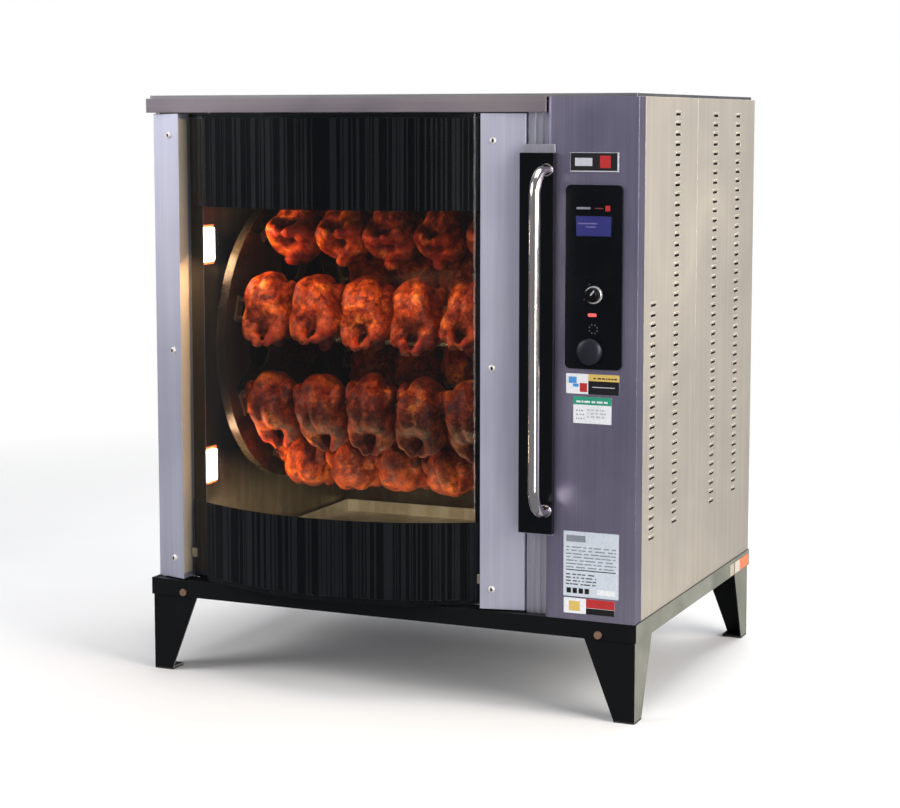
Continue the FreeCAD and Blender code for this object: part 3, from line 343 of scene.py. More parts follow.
MAT = {
    "posts": brushed("brushed_posts", tone(216, 217, 236), 0.40, "z", 0.06, metal=0.75),
    "column": brushed("brushed_column", tone(160, 155, 180), 0.36, "z", metal=0.85, drift=0.22),
    "rail": brushed("brushed_rail", tone(166, 157, 164), 0.36, "x", metal=0.85, drift=0.2),
    "stile": brushed("brushed_stile", tone(196, 195, 208), 0.32, "z", 0.15, metal=0.75),
    "side": brushed("brushed_side", tone(224, 216, 203), 0.46, "z", 0.04, 0.05, 0.7),
    "lid": brushed("brushed_lid", tone(164, 162, 164), 0.42, "x"),
    "rear": brushed("brushed_rear", tone(176, 174, 172), 0.44, "x"),
    "trim": brushed("brushed_trim", tone(214, 200, 178), 0.42, "z", 0.05, metal=0.2),
    "disc": heat_tinted("disc_steel", tone(96, 90, 84), 0.6, 0.22),
    "oven": heat_tinted("oven_steel", tone(176, 170, 152), 0.6),
    "oven_floor": heat_tinted("oven_floor_steel", tone(240, 240, 226), 0.2, 0.42, metal=0.65),
    # The pairs of heights bound the painted shade on the cavity walls.
    "oven_side": heat_tinted("oven_side_steel", tone(170, 164, 146), 0.3, 0.36, (0.37, 0.89)),
    "oven_back": heat_tinted("oven_back_steel", tone(120, 115, 105), 0.8, 0.5, (0.30, 0.90)),
    "rotor": heat_tinted("rotor_steel", tone(200, 190, 170), 0.45, 0.24),
    "base": base_paint_with_painted_sheen(),
    "pad": painted("pad_rubber", (0.018, 0.018, 0.018, 1), 0.8, 0.3, 0.2),
    "fascia": painted("fascia_black", (0.0020, 0.0028, 0.0045, 1), 0.24, 0.05, 0.01, 0.0010, 0.16),
    "handle_plate": painted("handle_plate_black", (0.002, 0.0025, 0.0035, 1), 0.16, 0.02, 0.005, 0.0010, 0.2),
    "band": painted("band_black", (0.0014, 0.0018, 0.0028, 1), 0.34, 0.08, 0.005, 0.0003, 0.06),
    "band_rib": painted("band_rib", (0.0110, 0.0125, 0.0160, 1), 0.34, 0.08, 0.03, 0.0003, 0.2),
    "knob": painted("knob_black", (0.002, 0.002, 0.003, 1), 0.30, 0.10, 0.005, 0.0006, 0.2),
    "knob_ring": brushed("knob_ring", tone(226, 224, 226), 0.22, "z", 0.04, metal=0.6),
    "button": painted("button_grey", (0.010, 0.011, 0.019, 1), 0.36, 0.15, 0.02, 0.0010, 0.4),
    "motor": painted("motor_paint", (0.16, 0.165, 0.18, 1), 0.45, 0.4, 0.1),
    "rubber": painted("seal_rubber", (0.012, 0.012, 0.012, 1), 0.62, 0.3, 0.1),
    "gland": painted("gland_nylon", (0.015, 0.015, 0.017, 1), 0.48, 0.2, 0.1),
    "board": painted("board_green", (0.010, 0.085, 0.035, 1), 0.35, 0.1, 0.05),
    "iron": painted("bearing_iron", (0.12, 0.12, 0.125, 1), 0.5, 0.5, 0.1),
    "chrome": polished("handle_chrome", tone(232, 226, 222), 0.11),
    "screw": brushed("screw_steel", tone(242, 238, 232), 0.3, "x", 0.04, metal=0.5),
    "bolt": brushed("bolt_steel", tone(152, 122, 104), 0.4, "x", 0.04, metal=0.6),
    # Near black for the screw sockets: painted shade of the recess.
    "socket": painted("screw_socket_shade", (0.010, 0.008, 0.008, 1), 0.5, 0.1, 0.02, 0.0002),
    "heater": heat_tinted("heater_tube", tone(92, 66, 54), 0.8, 0.45),
    "glass": clear_pane("door_glass", (0.83, 0.84, 0.84, 1), 0.004),
    "inner_glass": clear_pane("inner_glass", (0.87, 0.87, 0.86, 1), 0.005),
    "lamp": glowing("lamp_glow", (1.0, 0.78, 0.52, 1), 18.0, 0.5, 25.0),
    "lamp_rim": glowing("lamp_rim_glow", (1.0, 0.30, 0.09, 1), 0.7),
    "lcd": glowing("lcd_glow", (0.011, 0.012, 0.090, 1), 0.7, 0.012, 180.0),
    "lcd_mark": glowing("lcd_mark_glow", (0.06, 0.05, 0.16, 1), 0.8, 0.1, 300.0),
    "red_lens": glowing("red_lens", (0.60, 0.03, 0.03, 1), 0.7, 0.3, 500.0),
    "skin": roast_skin(),
    "white": plain_print("print_white", tone(226, 228, 232)),
    "pale": plain_print("print_pale", tone(196, 204, 214)),
    "grey": plain_print("print_grey", tone(128, 134, 144)),
    "ink": plain_print("print_ink", tone(14, 14, 18)),
    "yellow": plain_print("print_yellow", tone(214, 182, 96)),
    "green": plain_print("print_green", tone(36, 148, 116)),
    "blue": plain_print("print_blue", tone(66, 140, 206)),
    "red": plain_print("print_red", tone(180, 34, 36)),
    "dim": plain_print("print_dim", tone(78, 80, 88)),
    "rust": plain_print("print_rust", tone(96, 40, 42)),
    "silver": plain_print("print_silver", tone(188, 190, 198)),
    "tag": banded_tag(),
}

NODE_FINISH = {
    "posts": ["door_post_left", "door_post_right"],
    "column": ["column_panel"],
    "rail": ["top_rail"],
    "stile": ["front_stile", "handle_liner"],
    "side": ["side_panel_left", "side_panel_right"],
    "lid": ["top_cover"],
    "rear": ["rear_panel", "bottom_panel"],
    "oven": ["front_frame", "cavity_roof", "fan_guard", "fan_wheel"],
    "oven_side": ["cavity_left_wall", "cavity_right_wall"],
    "oven_floor": ["cavity_floor", "drip_tray"],
    "oven_back": ["cavity_rear_wall"],
    "disc": ["rotor_disc_left", "rotor_disc_right"],
    "rotor": ["rotor_shaft", "spits"],
    "base": ["base_rail_front", "base_rail_rear", "base_rail_left", "base_rail_right",
             "leg_front_left", "leg_front_right", "leg_rear_left", "leg_rear_right"],
    "pad": ["foot_pads"],
    "fascia": ["control_fascia", "door_caps"],
    "handle_plate": ["handle_plate"],
    "motor": ["fan_motor", "drive_motor"],
    "rubber": ["door_seal", "door_catch"],
    "gland": ["cable_gland"],
    "board": ["control_board"],
    "iron": ["rotor_bearings", "door_hinge_blocks"],
    "chrome": ["door_handle"],
    "screw": ["post_screws", "hinge_pins"],
    "bolt": ["leg_bolts"],
    "heater": ["ring_heater"],
    "glass": ["door_glass_outer"],
    "inner_glass": ["door_glass_inner"],
    "white": ["label_plates"],
    "tag": ["earth_tag"],
    "lcd": ["display_window"],
    "red_lens": ["indicator_lamp"],
}


def finish_nodes():
    for key, names in NODE_FINISH.items():
        for name in names:
            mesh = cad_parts[name].data
            mesh.materials.clear()
            mesh.materials.append(MAT[key])


# Mesh building.

def piece_from(name, mesh, body, replaces=()):
    piece = bpy.data.objects.new(name, mesh)
    bpy.context.scene.collection.objects.link(piece)
    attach(piece, body)
    if replaces:
        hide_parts(*replaces)


def new_mesh(name, verts, faces, materials, face_material, smooth=False):
    mesh = bpy.data.meshes.new(name)
    mesh.from_pydata([tuple(v) for v in verts], [], faces)
    for material in materials:
        mesh.materials.append(material)
    mesh.polygons.foreach_set("material_index", face_material)
    mesh.polygons.foreach_set("use_smooth", [smooth] * len(mesh.polygons))
    mesh.update()
    return mesh


class Builder:
    """Collects rounded blocks and lathed shapes with their own materials into one mesh."""

    def __init__(self):
        self.verts = []
        self.faces = []
        self.marks = []
        self.materials = []

    def take(self, verts, faces, material):
        start = len(self.verts)
        if material not in self.materials:
            self.materials.append(material)
        index = self.materials.index(material)
        self.verts += verts
        self.faces += [tuple(start + i for i in face) for face in faces]
        self.marks += [index] * len(faces)

    def block(self, low, high, material, bevel=0.0):
        shape = bmesh.new()
        bmesh.ops.create_cube(shape, size=1.0)
        centre = [(a + b) / 2 for a, b in zip(low, high)]
        size = [abs(b - a) for a, b in zip(low, high)]
        shape.transform(Matrix.Translation(centre) @ Matrix.Diagonal((*size, 1.0)))
        if bevel:
            bmesh.ops.bevel(shape, geom=shape.edges[:], offset=bevel, segments=2, affect="EDGES", profile=0.5)
        shape.verts.ensure_lookup_table()
        faces = [[v.index for v in f.verts] for f in shape.faces]
        self.take([v.co.copy() for v in shape.verts], faces, material)
        shape.free()

    def lathe(self, profile, centre, axis, material, steps=40):
        """Revolve (radius, height) pairs; height runs along axis from centre."""
        turn = Vector((0, 0, 1)).rotation_difference(Vector(axis).normalized()).to_matrix()
        verts = []
        faces = []
        for radius, height in profile:
            for i in range(steps):
                angle = 2 * math.pi * i / steps
                local = Vector((radius * math.cos(angle), radius * math.sin(angle), height))
                verts.append(turn @ local + Vector(centre))
        for ring in range(len(profile) - 1):
            for i in range(steps):
                a = ring * steps + i
                b = ring * steps + (i + 1) % steps
                faces.append((a, b, b + steps, a + steps))
        faces.append(tuple(reversed(range(steps))))
        faces.append(tuple(range((len(profile) - 1) * steps, len(profile) * steps)))
        self.take(verts, faces, material)

    def build(self, name, body, replaces=()):
        mesh = new_mesh(name, self.verts, self.faces, self.materials, self.marks, True)
        mesh.set_sharp_from_angle(angle=math.radians(40))
        piece_from(name, mesh, body, replaces)


def span_of(points):
    """Lowest and highest corner of some points."""
    return tuple(Vector([pick(p[i] for p in points) for i in range(3)]) for pick in (min, max))


def islands(node):
    """Boxes (low, high) of the separate solids of a CAD node."""
    shape = bmesh.new()
    shape.from_mesh(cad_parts[node].data)
    bmesh.ops.remove_doubles(shape, verts=shape.verts, dist=1e-6)
    seen = set()
    boxes = []
    for seed in shape.verts:
        if seed in seen:
            continue
        seen.add(seed)
        stack = [seed]
        members = []
        while stack:
            vert = stack.pop()
            members.append(vert.co.copy())
            for edge in vert.link_edges:
                other = edge.other_vert(vert)
                if other not in seen:
                    seen.add(other)
                    stack.append(other)
        boxes.append(span_of(members))
    shape.free()
    return sorted(boxes, key=lambda b: (round(b[0].z, 4), b[0].x))


# Chickens: an organic body made from metaballs, in the spit's frame. X runs along the spit, Y points
# to the tail, tangentially, and Z points out of the rotor.

BIRD_HALF = Vector((0.0555, 0.078, 0.066))


def bird_elements(rng):
    """Ellipsoids (centre, half sizes, tilt about X, tilt about Z) that melt into one trussed bird."""
    def near(*values):
        return [v + rng.uniform(-0.002, 0.002) for v in values]
    parts = [
        (near(0.0, -0.004, -0.006), (0.048, 0.064, 0.048), 0.0, 0.0),
        (near(0.0, -0.022, 0.024), (0.038, 0.050, 0.034), 0.15, 0.0),
        (near(0.0, -0.064, 0.004), (0.026, 0.018, 0.024), 0.0, 0.0),
        (near(0.0, 0.064, -0.024), (0.016, 0.016, 0.010), 0.3, 0.0),
    ]
    for side in (-1, 1):
        parts += [
            (near(side * 0.018, -0.016, 0.034), (0.024, 0.048, 0.024), 0.1, 0.1 * side),
            (near(side * 0.034, 0.024, 0.012), (0.024, 0.040, 0.034), 0.25, -0.2 * side),
            (near(side * 0.030, 0.048, 0.028), (0.018, 0.028, 0.018), 0.45, -0.1 * side),
            (near(side * 0.018, 0.068, 0.036), (0.011, 0.014, 0.010), 0.4, 0.5 * side),
            (near(side * 0.011, 0.078, 0.038), (0.011, 0.008, 0.010), 0.0, 0.0),
            (near(side * 0.046, -0.038, 0.006), (0.014, 0.024, 0.018), 0.5, 0.15 * side),
            (near(side * 0.049, -0.014, -0.006), (0.010, 0.024, 0.012), -0.4, -0.1 * side),
        ]
    return parts


def bird_mesh(variant):
    """One bird: metaballs turned into a mesh, dented at the cavity and roughened, with char marks and painted
    shade in the cavity.
    """
    rng = random.Random(100 + variant)
    ball = bpy.data.metaballs.new(f"bird_ball_{variant}")
    ball.resolution = 0.0042
    ball.render_resolution = 0.0042
    ball.threshold = 0.45
    for centre, half, lean, swing in bird_elements(rng):
        element = ball.elements.new(type="ELLIPSOID")
        element.co = centre
        element.radius = 1.0
        element.size_x, element.size_y, element.size_z = (h * 1.45 for h in half)
        element.rotation = (Matrix.Rotation(swing, 3, "Z") @ Matrix.Rotation(lean, 3, "X")).to_quaternion()
        element.stiffness = 3.0
    carrier = bpy.data.objects.new(f"bird_ball_{variant}", ball)
    bpy.context.scene.collection.objects.link(carrier)
    bpy.context.view_layer.update()
    graph = bpy.context.evaluated_depsgraph_get()
    mesh = bpy.data.meshes.new_from_object(carrier.evaluated_get(graph))
    bpy.data.objects.remove(carrier)
    bpy.data.metaballs.remove(ball)

    co = [v.co.copy() for v in mesh.vertices]
    low, high = span_of(co)
    scale = Vector([2 * BIRD_HALF[i] / (high[i] - low[i]) for i in range(3)])
    middle = (low + high) / 2
    shift = Vector((rng.uniform(0, 9), rng.uniform(0, 9), rng.uniform(0, 9)))
    normals = [v.normal.copy() for v in mesh.vertices]
    char_and_shade = []
    red = []
    for vert, point, normal in zip(mesh.vertices, co, normals):
        p = Vector([(point[i] - middle[i]) * scale[i] for i in range(3)])
        off_axis = math.hypot(p.x, p.z - 0.004)
        hole = max(0.0, 1.0 - off_axis / 0.019) if p.y > 0.02 else 0.0
        hole = hole * hole * (3 - 2 * hole)
        lumps = noise.noise(p * 55 + shift) * 0.0022 + noise.noise(p * 150 + shift) * 0.0009
        groove = -0.0030 * math.exp(-(p.x / 0.0035) ** 2) if p.z > 0.02 and p.y < 0.02 else 0.0
        vert.co = p + normal * (lumps + groove) - Vector((0, 0.034 * hole, 0))
        blotch = noise.noise(p * 30 + shift * 2)
        tips = max(0.0, (abs(p.y) - 0.060) / 0.02)
        # Char at the tips and in blotches; the cavity hole adds painted shade.
        char_and_shade.append(min(1.0, max(0.0, hole * 1.3 + tips * 0.30 + max(0.0, blotch - 0.22) * 1.5)))
        flush = max(0.0, (p.y - 0.035) / 0.04) * (0.6 + noise.noise(p * 40 + shift))
        red.append(min(1.0, flush * (1 - hole)))
    mesh.attributes.new("char_and_shade", "FLOAT", "POINT").data.foreach_set("value", char_and_shade)
    mesh.attributes.new("red", "FLOAT", "POINT").data.foreach_set("value", red)
    return mesh


def spit_matrix(angle):
    """Spit frame to row frame: X along the spit, Y down the rotor's front side, Z outwards."""
    turn = math.radians(angle)
    out = Vector((0, -math.cos(turn), math.sin(turn)))
    tail = Vector((0, -math.sin(turn), -math.cos(turn)))
    return Matrix((
        (1, tail.x, out.x, 0),
        (0, tail.y, out.y, ROTOR_AXIS.y + out.y * SPIT_RING),
        (0, tail.z, out.z, ROTOR_AXIS.z + out.z * SPIT_RING),
        (0, 0, 0, 1),
    ))


def add_chickens():
    low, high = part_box("chickens")
    middle_x = (low.x + high.x) / 2
    variants = [bird_mesh(i) for i in range(BIRD_SHAPES)]
    rng = random.Random(7)
    for spit in range(SPITS):
        matrix = spit_matrix(SPIT_PHASE + 360.0 * spit / SPITS)
        shape = bmesh.new()
        for i in range(BIRDS_PER_SPIT):
            x = middle_x + (i - (BIRDS_PER_SPIT - 1) / 2) * BIRD_PITCH
            sway = Matrix.Rotation(math.radians(rng.uniform(-9, 9)), 4, "X")
            lean = Matrix.Rotation(math.radians(rng.uniform(-8, 8)), 4, "Z")
            size = Matrix.Scale(rng.uniform(0.95, 1.02), 4)
            bird = variants[rng.randrange(len(variants))].copy()
            bird.transform(matrix @ Matrix.Translation((x, 0, 0)) @ sway @ lean @ size)
            shape.from_mesh(bird)
            bpy.data.meshes.remove(bird)
        mesh = bpy.data.meshes.new(f"chickens_spit_{spit + 1}")
        shape.to_mesh(mesh)
        shape.free()
        mesh.materials.clear()
        mesh.materials.append(MAT["skin"])
        mesh.polygons.foreach_set("material_index", [0] * len(mesh.polygons))
        mesh.polygons.foreach_set("use_smooth", [True] * len(mesh.polygons))
        piece_from(f"chickens_spit_{spit + 1}", mesh, "rotor", ["chickens"])


# Door: ribbed black bands behind the outer pane, edge trims, painted shade for the sockets of the cap screws,
# glass clamps and handle collars.

def arc_point(radius, angle, z):
    """Point on an arc about the glass axis; angle 0 is the middle of the door."""
    return Vector((GLASS_MID + radius * math.sin(angle), GLASS_AXIS - radius * math.cos(angle), z))


def add_band(name, low_z, high_z, seed):
    """Black sheet folded into fine uneven vertical ribs, just inside the outer pane."""
    rng = random.Random(seed)
    pane_low, pane_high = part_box("door_glass_outer")
    back = OUTER_RAD - 0.0066
    angle = math.asin((pane_low.x + 0.002 - GLASS_MID) / back)
    end = math.asin((pane_high.x - 0.002 - GLASS_MID) / back)
    stations = []
    while angle < end:
        width = rng.uniform(1.6, 4.6) * MM / OUTER_RAD
        proud = 0.0009 if rng.random() < 0.42 else 0.0
        stations.append((angle, back + proud, proud > 0))
        stations.append((min(end, angle + width), back + proud, proud > 0))
        angle += width
    verts = []
    faces = []
    marks = []
    for angle, radius, _ in stations:
        for depth in (radius, back - 0.0006):
            verts += [arc_point(depth, angle, low_z), arc_point(depth, angle, high_z)]
    for i in range(len(stations) - 1):
        a, b = 4 * i, 4 * (i + 1)
        proud = stations[i][2] and stations[i + 1][2]
        for face in ((a, b, b + 1, a + 1), (a + 3, b + 3, b + 2, a + 2),
                     (a + 1, b + 1, b + 3, a + 3), (a + 2, b + 2, b, a)):
            faces.append(face)
            marks.append(1 if proud else 0)
    last = 4 * (len(stations) - 1)
    for face in ((0, 1, 3, 2), (last, last + 2, last + 3, last + 1)):
        faces.append(face)
        marks.append(0)
    mesh = new_mesh(name, verts, faces, [MAT["band"], MAT["band_rib"]], marks)
    piece_from(name, mesh, "door")


def add_door_details():
    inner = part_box("door_glass_inner")
    pane_low, pane_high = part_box("door_glass_outer")
    add_band("door_band_top", WINDOW_HIGH, inner[1].z, 21)
    add_band("door_band_bottom", inner[0].z, WINDOW_LOW, 22)

    trims = Builder()
    post_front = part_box("door_post_left")[0].y
    lip_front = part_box("door_post_left")[1].y - 0.0021
    left, right = pane_low.x, pane_high.x
    bottom, top = pane_low.z + 0.010, pane_high.z - 0.010
    near, far = post_front + 0.002, post_front + 0.033
    trims.block((left - 0.0003, near, bottom), (left + 0.0001, far, top), MAT["trim"])
    for x_low, x_high in ((left + 0.0006, inner[0].x - 0.0004), (inner[1].x + 0.0004, right - 0.0006)):
        trims.block((x_low, lip_front - 0.0009, bottom), (x_high, lip_front, top), MAT["band"])
    trims.build("door_edge_trims", "door")

    sockets = Builder()
    for box_low, box_high in islands("post_screws"):
        middle = (box_low + box_high) / 2
        if middle.x < GLASS_MID:
            cant = -math.atan2(POST_CANT, HINGE_POST_W)
        else:
            cant = math.atan2(POST_CANT, HANDLE_POST_W)
        out = Vector((-math.sin(cant), -math.cos(cant), 0))
        face = middle + out * 0.0012
        # Painted shade: a flat near-black hexagon stands for each screw's shaded socket.
        sockets.lathe([(0.0040, 0.0), (0.0040, 0.0012), (0.0034, 0.0014)], face, out, MAT["socket"], 6)
    sockets.build("screw_sockets", "door")

    clamps = Builder()
    half = Vector((0.006, 0.0014, 0.009))
    for x in (pane_low.x + 0.010, pane_high.x - 0.010):
        angle = math.asin((x - GLASS_MID) / (OUTER_RAD + 0.002))
        spot = arc_point(OUTER_RAD + 0.0016, angle, CLAMP_UP)
        clamps.block(spot - half, spot + half, MAT["rotor"], 0.0008)
    clamps.build("glass_clamps", "door")

    collars = Builder()
    bar_low, bar_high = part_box("door_handle")
    plate_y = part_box("handle_plate")[0].y
    for z in (bar_low.z + 0.010, bar_high.z - 0.010):
        centre = ((bar_low.x + bar_high.x) / 2, plate_y, z)
        ring = [(0.0102, 0.0), (0.0118, 0.0), (0.0118, 0.004), (0.0112, 0.005), (0.0102, 0.005)]
        collars.lathe(ring, centre, (0, -1, 0), MAT["chrome"])
    collars.build("handle_collars", "door")


# Controls: knob with its ring and pointer, soft rotor button, marks round them, display and prints.

def add_controls():
    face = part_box("control_fascia")[0].y
    low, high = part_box("selector_knob")
    centre = Vector(((low.x + high.x) / 2, face, (low.z + high.z) / 2))
    out = (0, -1, 0)
    knob = Builder()
    ring = [(0.0125, 0.0004), (0.0160, 0.0004), (0.0160, 0.0045), (0.0148, 0.0062), (0.0132, 0.0062),
            (0.0125, 0.0040)]
    knob.lathe(ring, centre, out, MAT["knob_ring"], 56)
    cap = [(0.0124, 0.0006), (0.0124, 0.010), (0.0118, 0.0180), (0.0104, 0.0200), (0.0060, 0.0205),
           (0.001, 0.0205)]
    knob.lathe(cap, centre, out, MAT["knob"], 48)
    for i in range(18):
        angle = 2 * math.pi * i / 18
        spot = centre + Vector((0.0121 * math.cos(angle), -0.0125, 0.0121 * math.sin(angle)))
        near, far = spot - Vector((0.0006, 0.0060, 0.0006)), spot + Vector((0.0006, 0.0050, 0.0006))
        knob.block(near, far, MAT["knob"], 0.0002)
    for step in range(7):
        along = 0.002 + step * 0.0014
        spot = centre + Vector((along * 0.62, -0.0208, along * 0.78))
        near, far = spot - Vector((0.0011, 0.0003, 0.0011)), spot + Vector((0.0011, 0.0, 0.0011))
        knob.block(near, far, MAT["white"])
    knob.build("selector_knob_detail", "selector", ["selector_knob"])

    low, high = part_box("rotor_button")
    spot = Vector(((low.x + high.x) / 2, face, (low.z + high.z) / 2))
    radius = (high.x - low.x) / 2
    button = Builder()
    dome = [(radius, -0.004), (radius, 0.0064), (radius - 0.0010, 0.0082), (radius - 0.0035, 0.0100),
            (radius - 0.0085, 0.0116), (radius - 0.0150, 0.0124), (0.001, 0.0126)]
    button.lathe(dome, spot, out, MAT["button"], 64)
    button.build("rotor_button_detail", "button", ["rotor_button"])

    marks = Builder()
    ring_centre = spot + Vector((0.006, 0, 0.040))
    for i in range(8):
        angle = math.pi / 8 + 2 * math.pi * i / 8
        dot = ring_centre + Vector((0.0078 * math.cos(angle), 0, 0.0078 * math.sin(angle)))
        marks.lathe([(0.0014, 0.0), (0.0014, 0.0002)], dot, out, MAT["dim"], 14)
    for angle in (math.radians(115), math.radians(205)):
        dot = centre + Vector((0.0205 * math.cos(angle), 0, 0.0205 * math.sin(angle)))
        marks.lathe([(0.0008, 0.0), (0.0008, 0.0002)], dot, out, MAT["grey"], 10)
    lcd_low, lcd_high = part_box("display_window")
    bar_z = lcd_high.z + 0.014
    for left, right, half, lift, key in (
        (lcd_low.x, lcd_low.x + 0.026, 0.002, 0.0002, "grey"),
        (lcd_low.x + 0.034, lcd_low.x + 0.050, 0.001, 0.0002, "rust"),
        (lcd_high.x - 0.011, lcd_high.x - 0.002, 0.005, 0.0003, "red"),
    ):
        marks.block((left, face - lift, bar_z - half), (right, face, bar_z + half), MAT[key])
    marks.build("fascia_marks", "cabinet")

    screen = Builder()
    front = lcd_low.y
    for row, (start, length) in enumerate(((0.003, 0.036), (0.018, 0.018))):
        z = lcd_high.z - 0.013 - row * 0.006
        left, right = lcd_low.x + start, lcd_low.x + start + length
        screen.block((left, front - 0.0001, z - 0.0012), (right, front, z + 0.0012), MAT["lcd_mark"])
    frame_w = 0.0016
    for a, b in (
        ((lcd_low.x - frame_w, lcd_low.z - frame_w), (lcd_high.x + frame_w, lcd_low.z)),
        ((lcd_low.x - frame_w, lcd_high.z), (lcd_high.x + frame_w, lcd_high.z + frame_w)),
        ((lcd_low.x - frame_w, lcd_low.z), (lcd_low.x, lcd_high.z)),
        ((lcd_high.x, lcd_low.z), (lcd_high.x + frame_w, lcd_high.z)),
    ):
        screen.block((a[0], front - 0.0002, a[1]), (b[0], face, b[1]), MAT["fascia"], 0.0002)
    screen.build("display_frame", "cabinet")


def add_prints():
    """Plain coloured fields and bars on the badge and label plates; no letters, signs or marks."""
    plates = islands("label_plates")
    prints = Builder()

    def field(plate, across, up, material, lift=0.0001):
        low, high = plate
        width, height = high.x - low.x, high.z - low.z
        a = (low.x + across[0] * width, low.y - lift, low.z + up[0] * height)
        b = (low.x + across[1] * width, low.y, low.z + up[1] * height)
        prints.block(a, b, material)

    def bars(plate, across, up, count, material, rng, fill=0.5):
        step = (up[1] - up[0]) / count
        for i in range(count):
            start = across[0]
            base = up[0] + i * step
            while start < across[1] - 0.02:
                length = rng.uniform(0.05, 0.22) * (across[1] - across[0])
                stop = min(across[1], start + length)
                field(plate, (start, stop), (base, base + step * fill), material, 0.0002)
                start = stop + rng.uniform(0.01, 0.05)

    rng = random.Random(5)
    lowest, rating, paper, double, badge = plates
    field(lowest, (0.0, 0.42), (0.0, 1.0), MAT["white"])
    field(lowest, (0.10, 0.32), (0.16, 0.80), MAT["yellow"], 0.0002)
    field(lowest, (0.44, 1.0), (0.42, 1.0), MAT["red"])
    field(lowest, (0.44, 1.0), (0.0, 0.40), MAT["ink"])
    field(rating, (0.0, 1.0), (0.0, 1.0), MAT["pale"])
    field(rating, (0.05, 0.40), (0.84, 0.94), MAT["grey"], 0.0002)
    bars(rating, (0.05, 0.95), (0.44, 0.80), 7, MAT["grey"], rng, 0.38)
    field(rating, (0.05, 0.95), (0.40, 0.415), MAT["ink"], 0.0002)
    bars(rating, (0.05, 0.60), (0.18, 0.38), 4, MAT["ink"], rng, 0.34)
    for i in range(4):
        field(rating, (0.06 + 0.11 * i, 0.14 + 0.11 * i), (0.05, 0.13), MAT["ink"], 0.0002)
    field(rating, (0.62, 0.94), (0.05, 0.13), MAT["white"], 0.0002)
    field(paper, (0.0, 1.0), (0.70, 1.0), MAT["green"])
    bars(paper, (0.08, 0.90), (0.78, 0.92), 1, MAT["white"], rng, 0.5)
    bars(paper, (0.08, 0.30), (0.15, 0.60), 3, MAT["grey"], rng, 0.4)
    bars(paper, (0.36, 0.86), (0.22, 0.60), 3, MAT["silver"], rng, 0.6)
    field(double, (0.0, 0.42), (0.0, 1.0), MAT["white"])
    field(double, (0.05, 0.20), (0.52, 0.84), MAT["blue"], 0.0002)
    field(double, (0.13, 0.24), (0.34, 0.50), MAT["blue"], 0.0002)
    field(double, (0.26, 0.40), (0.10, 0.54), MAT["red"], 0.0002)
    field(double, (0.42, 1.0), (0.66, 1.0), MAT["yellow"])
    bars(double, (0.52, 0.96), (0.76, 0.94), 1, MAT["ink"], rng, 0.4)
    field(double, (0.42, 1.0), (0.0, 0.66), MAT["ink"])
    field(double, (0.50, 0.92), (0.34, 0.38), MAT["silver"], 0.0002)
    field(badge, (0.0, 1.0), (0.0, 1.0), MAT["silver"], 0.0002)
    field(badge, (0.008, 0.975), (0.06, 0.975), MAT["ink"], 0.0004)
    field(badge, (0.10, 0.46), (0.30, 0.72), MAT["silver"], 0.0006)
    field(badge, (0.62, 0.84), (0.20, 0.84), MAT["red"], 0.0006)
    prints.build("label_prints", "cabinet")


# Cavity and casing: lamp windows with glowing rims, louvre hoods and the rear screws.

def add_cavity():
    """Lamp windows framed by glowing rims; the rim's front upright is plain steel."""
    lamps = Builder()
    rim = 0.006
    for low, high in islands("cavity_lamps"):
        lamps.block(low, high, MAT["lamp"], 0.003)
        for y_low, z_low, y_high, z_high, key in (
            (low.y - rim, low.z - rim, high.y + rim, low.z, "lamp_rim"),
            (low.y - rim, high.z, high.y + rim, high.z + rim, "lamp_rim"),
            (low.y - rim, low.z, low.y, high.z, "rotor"),
            (high.y, low.z, high.y + rim, high.z, "lamp_rim"),
        ):
            lamps.block((low.x, y_low, z_low), (low.x + 0.004, y_high, z_high), MAT[key], 0.001)
    lamps.build("cavity_lamp_windows", "cabinet", ["cavity_lamps"])


def add_casing_details():
    """Pressed hoods over the vent slots and dome-headed screws round the rear panel."""
    for name, sign in (("side_panel_left", -1), ("side_panel_right", 1)):
        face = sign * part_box("side_panel_right")[1].x
        hoods = Builder()
        for depth, lowest, count in LOUVRES:
            for i in range(count):
                z = lowest + i * LOUVRE_STEP
                y = FRONT + depth
                near = (face - sign * 0.0004, y - 0.0150, z + 0.0008)
                far = (face + sign * 0.0016, y + 0.0115, z + 0.0052)
                hoods.block(*span_of((near, far)), MAT["side"], 0.0006)
        hoods.build(f"{name}_louvres", "cabinet")

    screws = Builder()
    low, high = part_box("rear_panel")
    dome = [(0.0045, 0.0), (0.0045, 0.0008), (0.0036, 0.0020), (0.0018, 0.0026), (0.0004, 0.0027)]
    left, right, bottom, top = low.x + 0.02, high.x - 0.02, low.z + 0.015, high.z - 0.015
    spots = [(left + (right - left) * i / 5, z) for i in range(6) for z in (bottom, top)]
    spots += [(x, bottom + (top - bottom) * i / 6) for i in range(1, 6) for x in (left, right)]
    for x, z in spots:
        screws.lathe(dome, (x, high.y, z), (0, 1, 0), MAT["screw"], 20)
    screws.build("rear_screws", "cabinet")


# Stage: floor, lights and the camera at the photograph's angle.

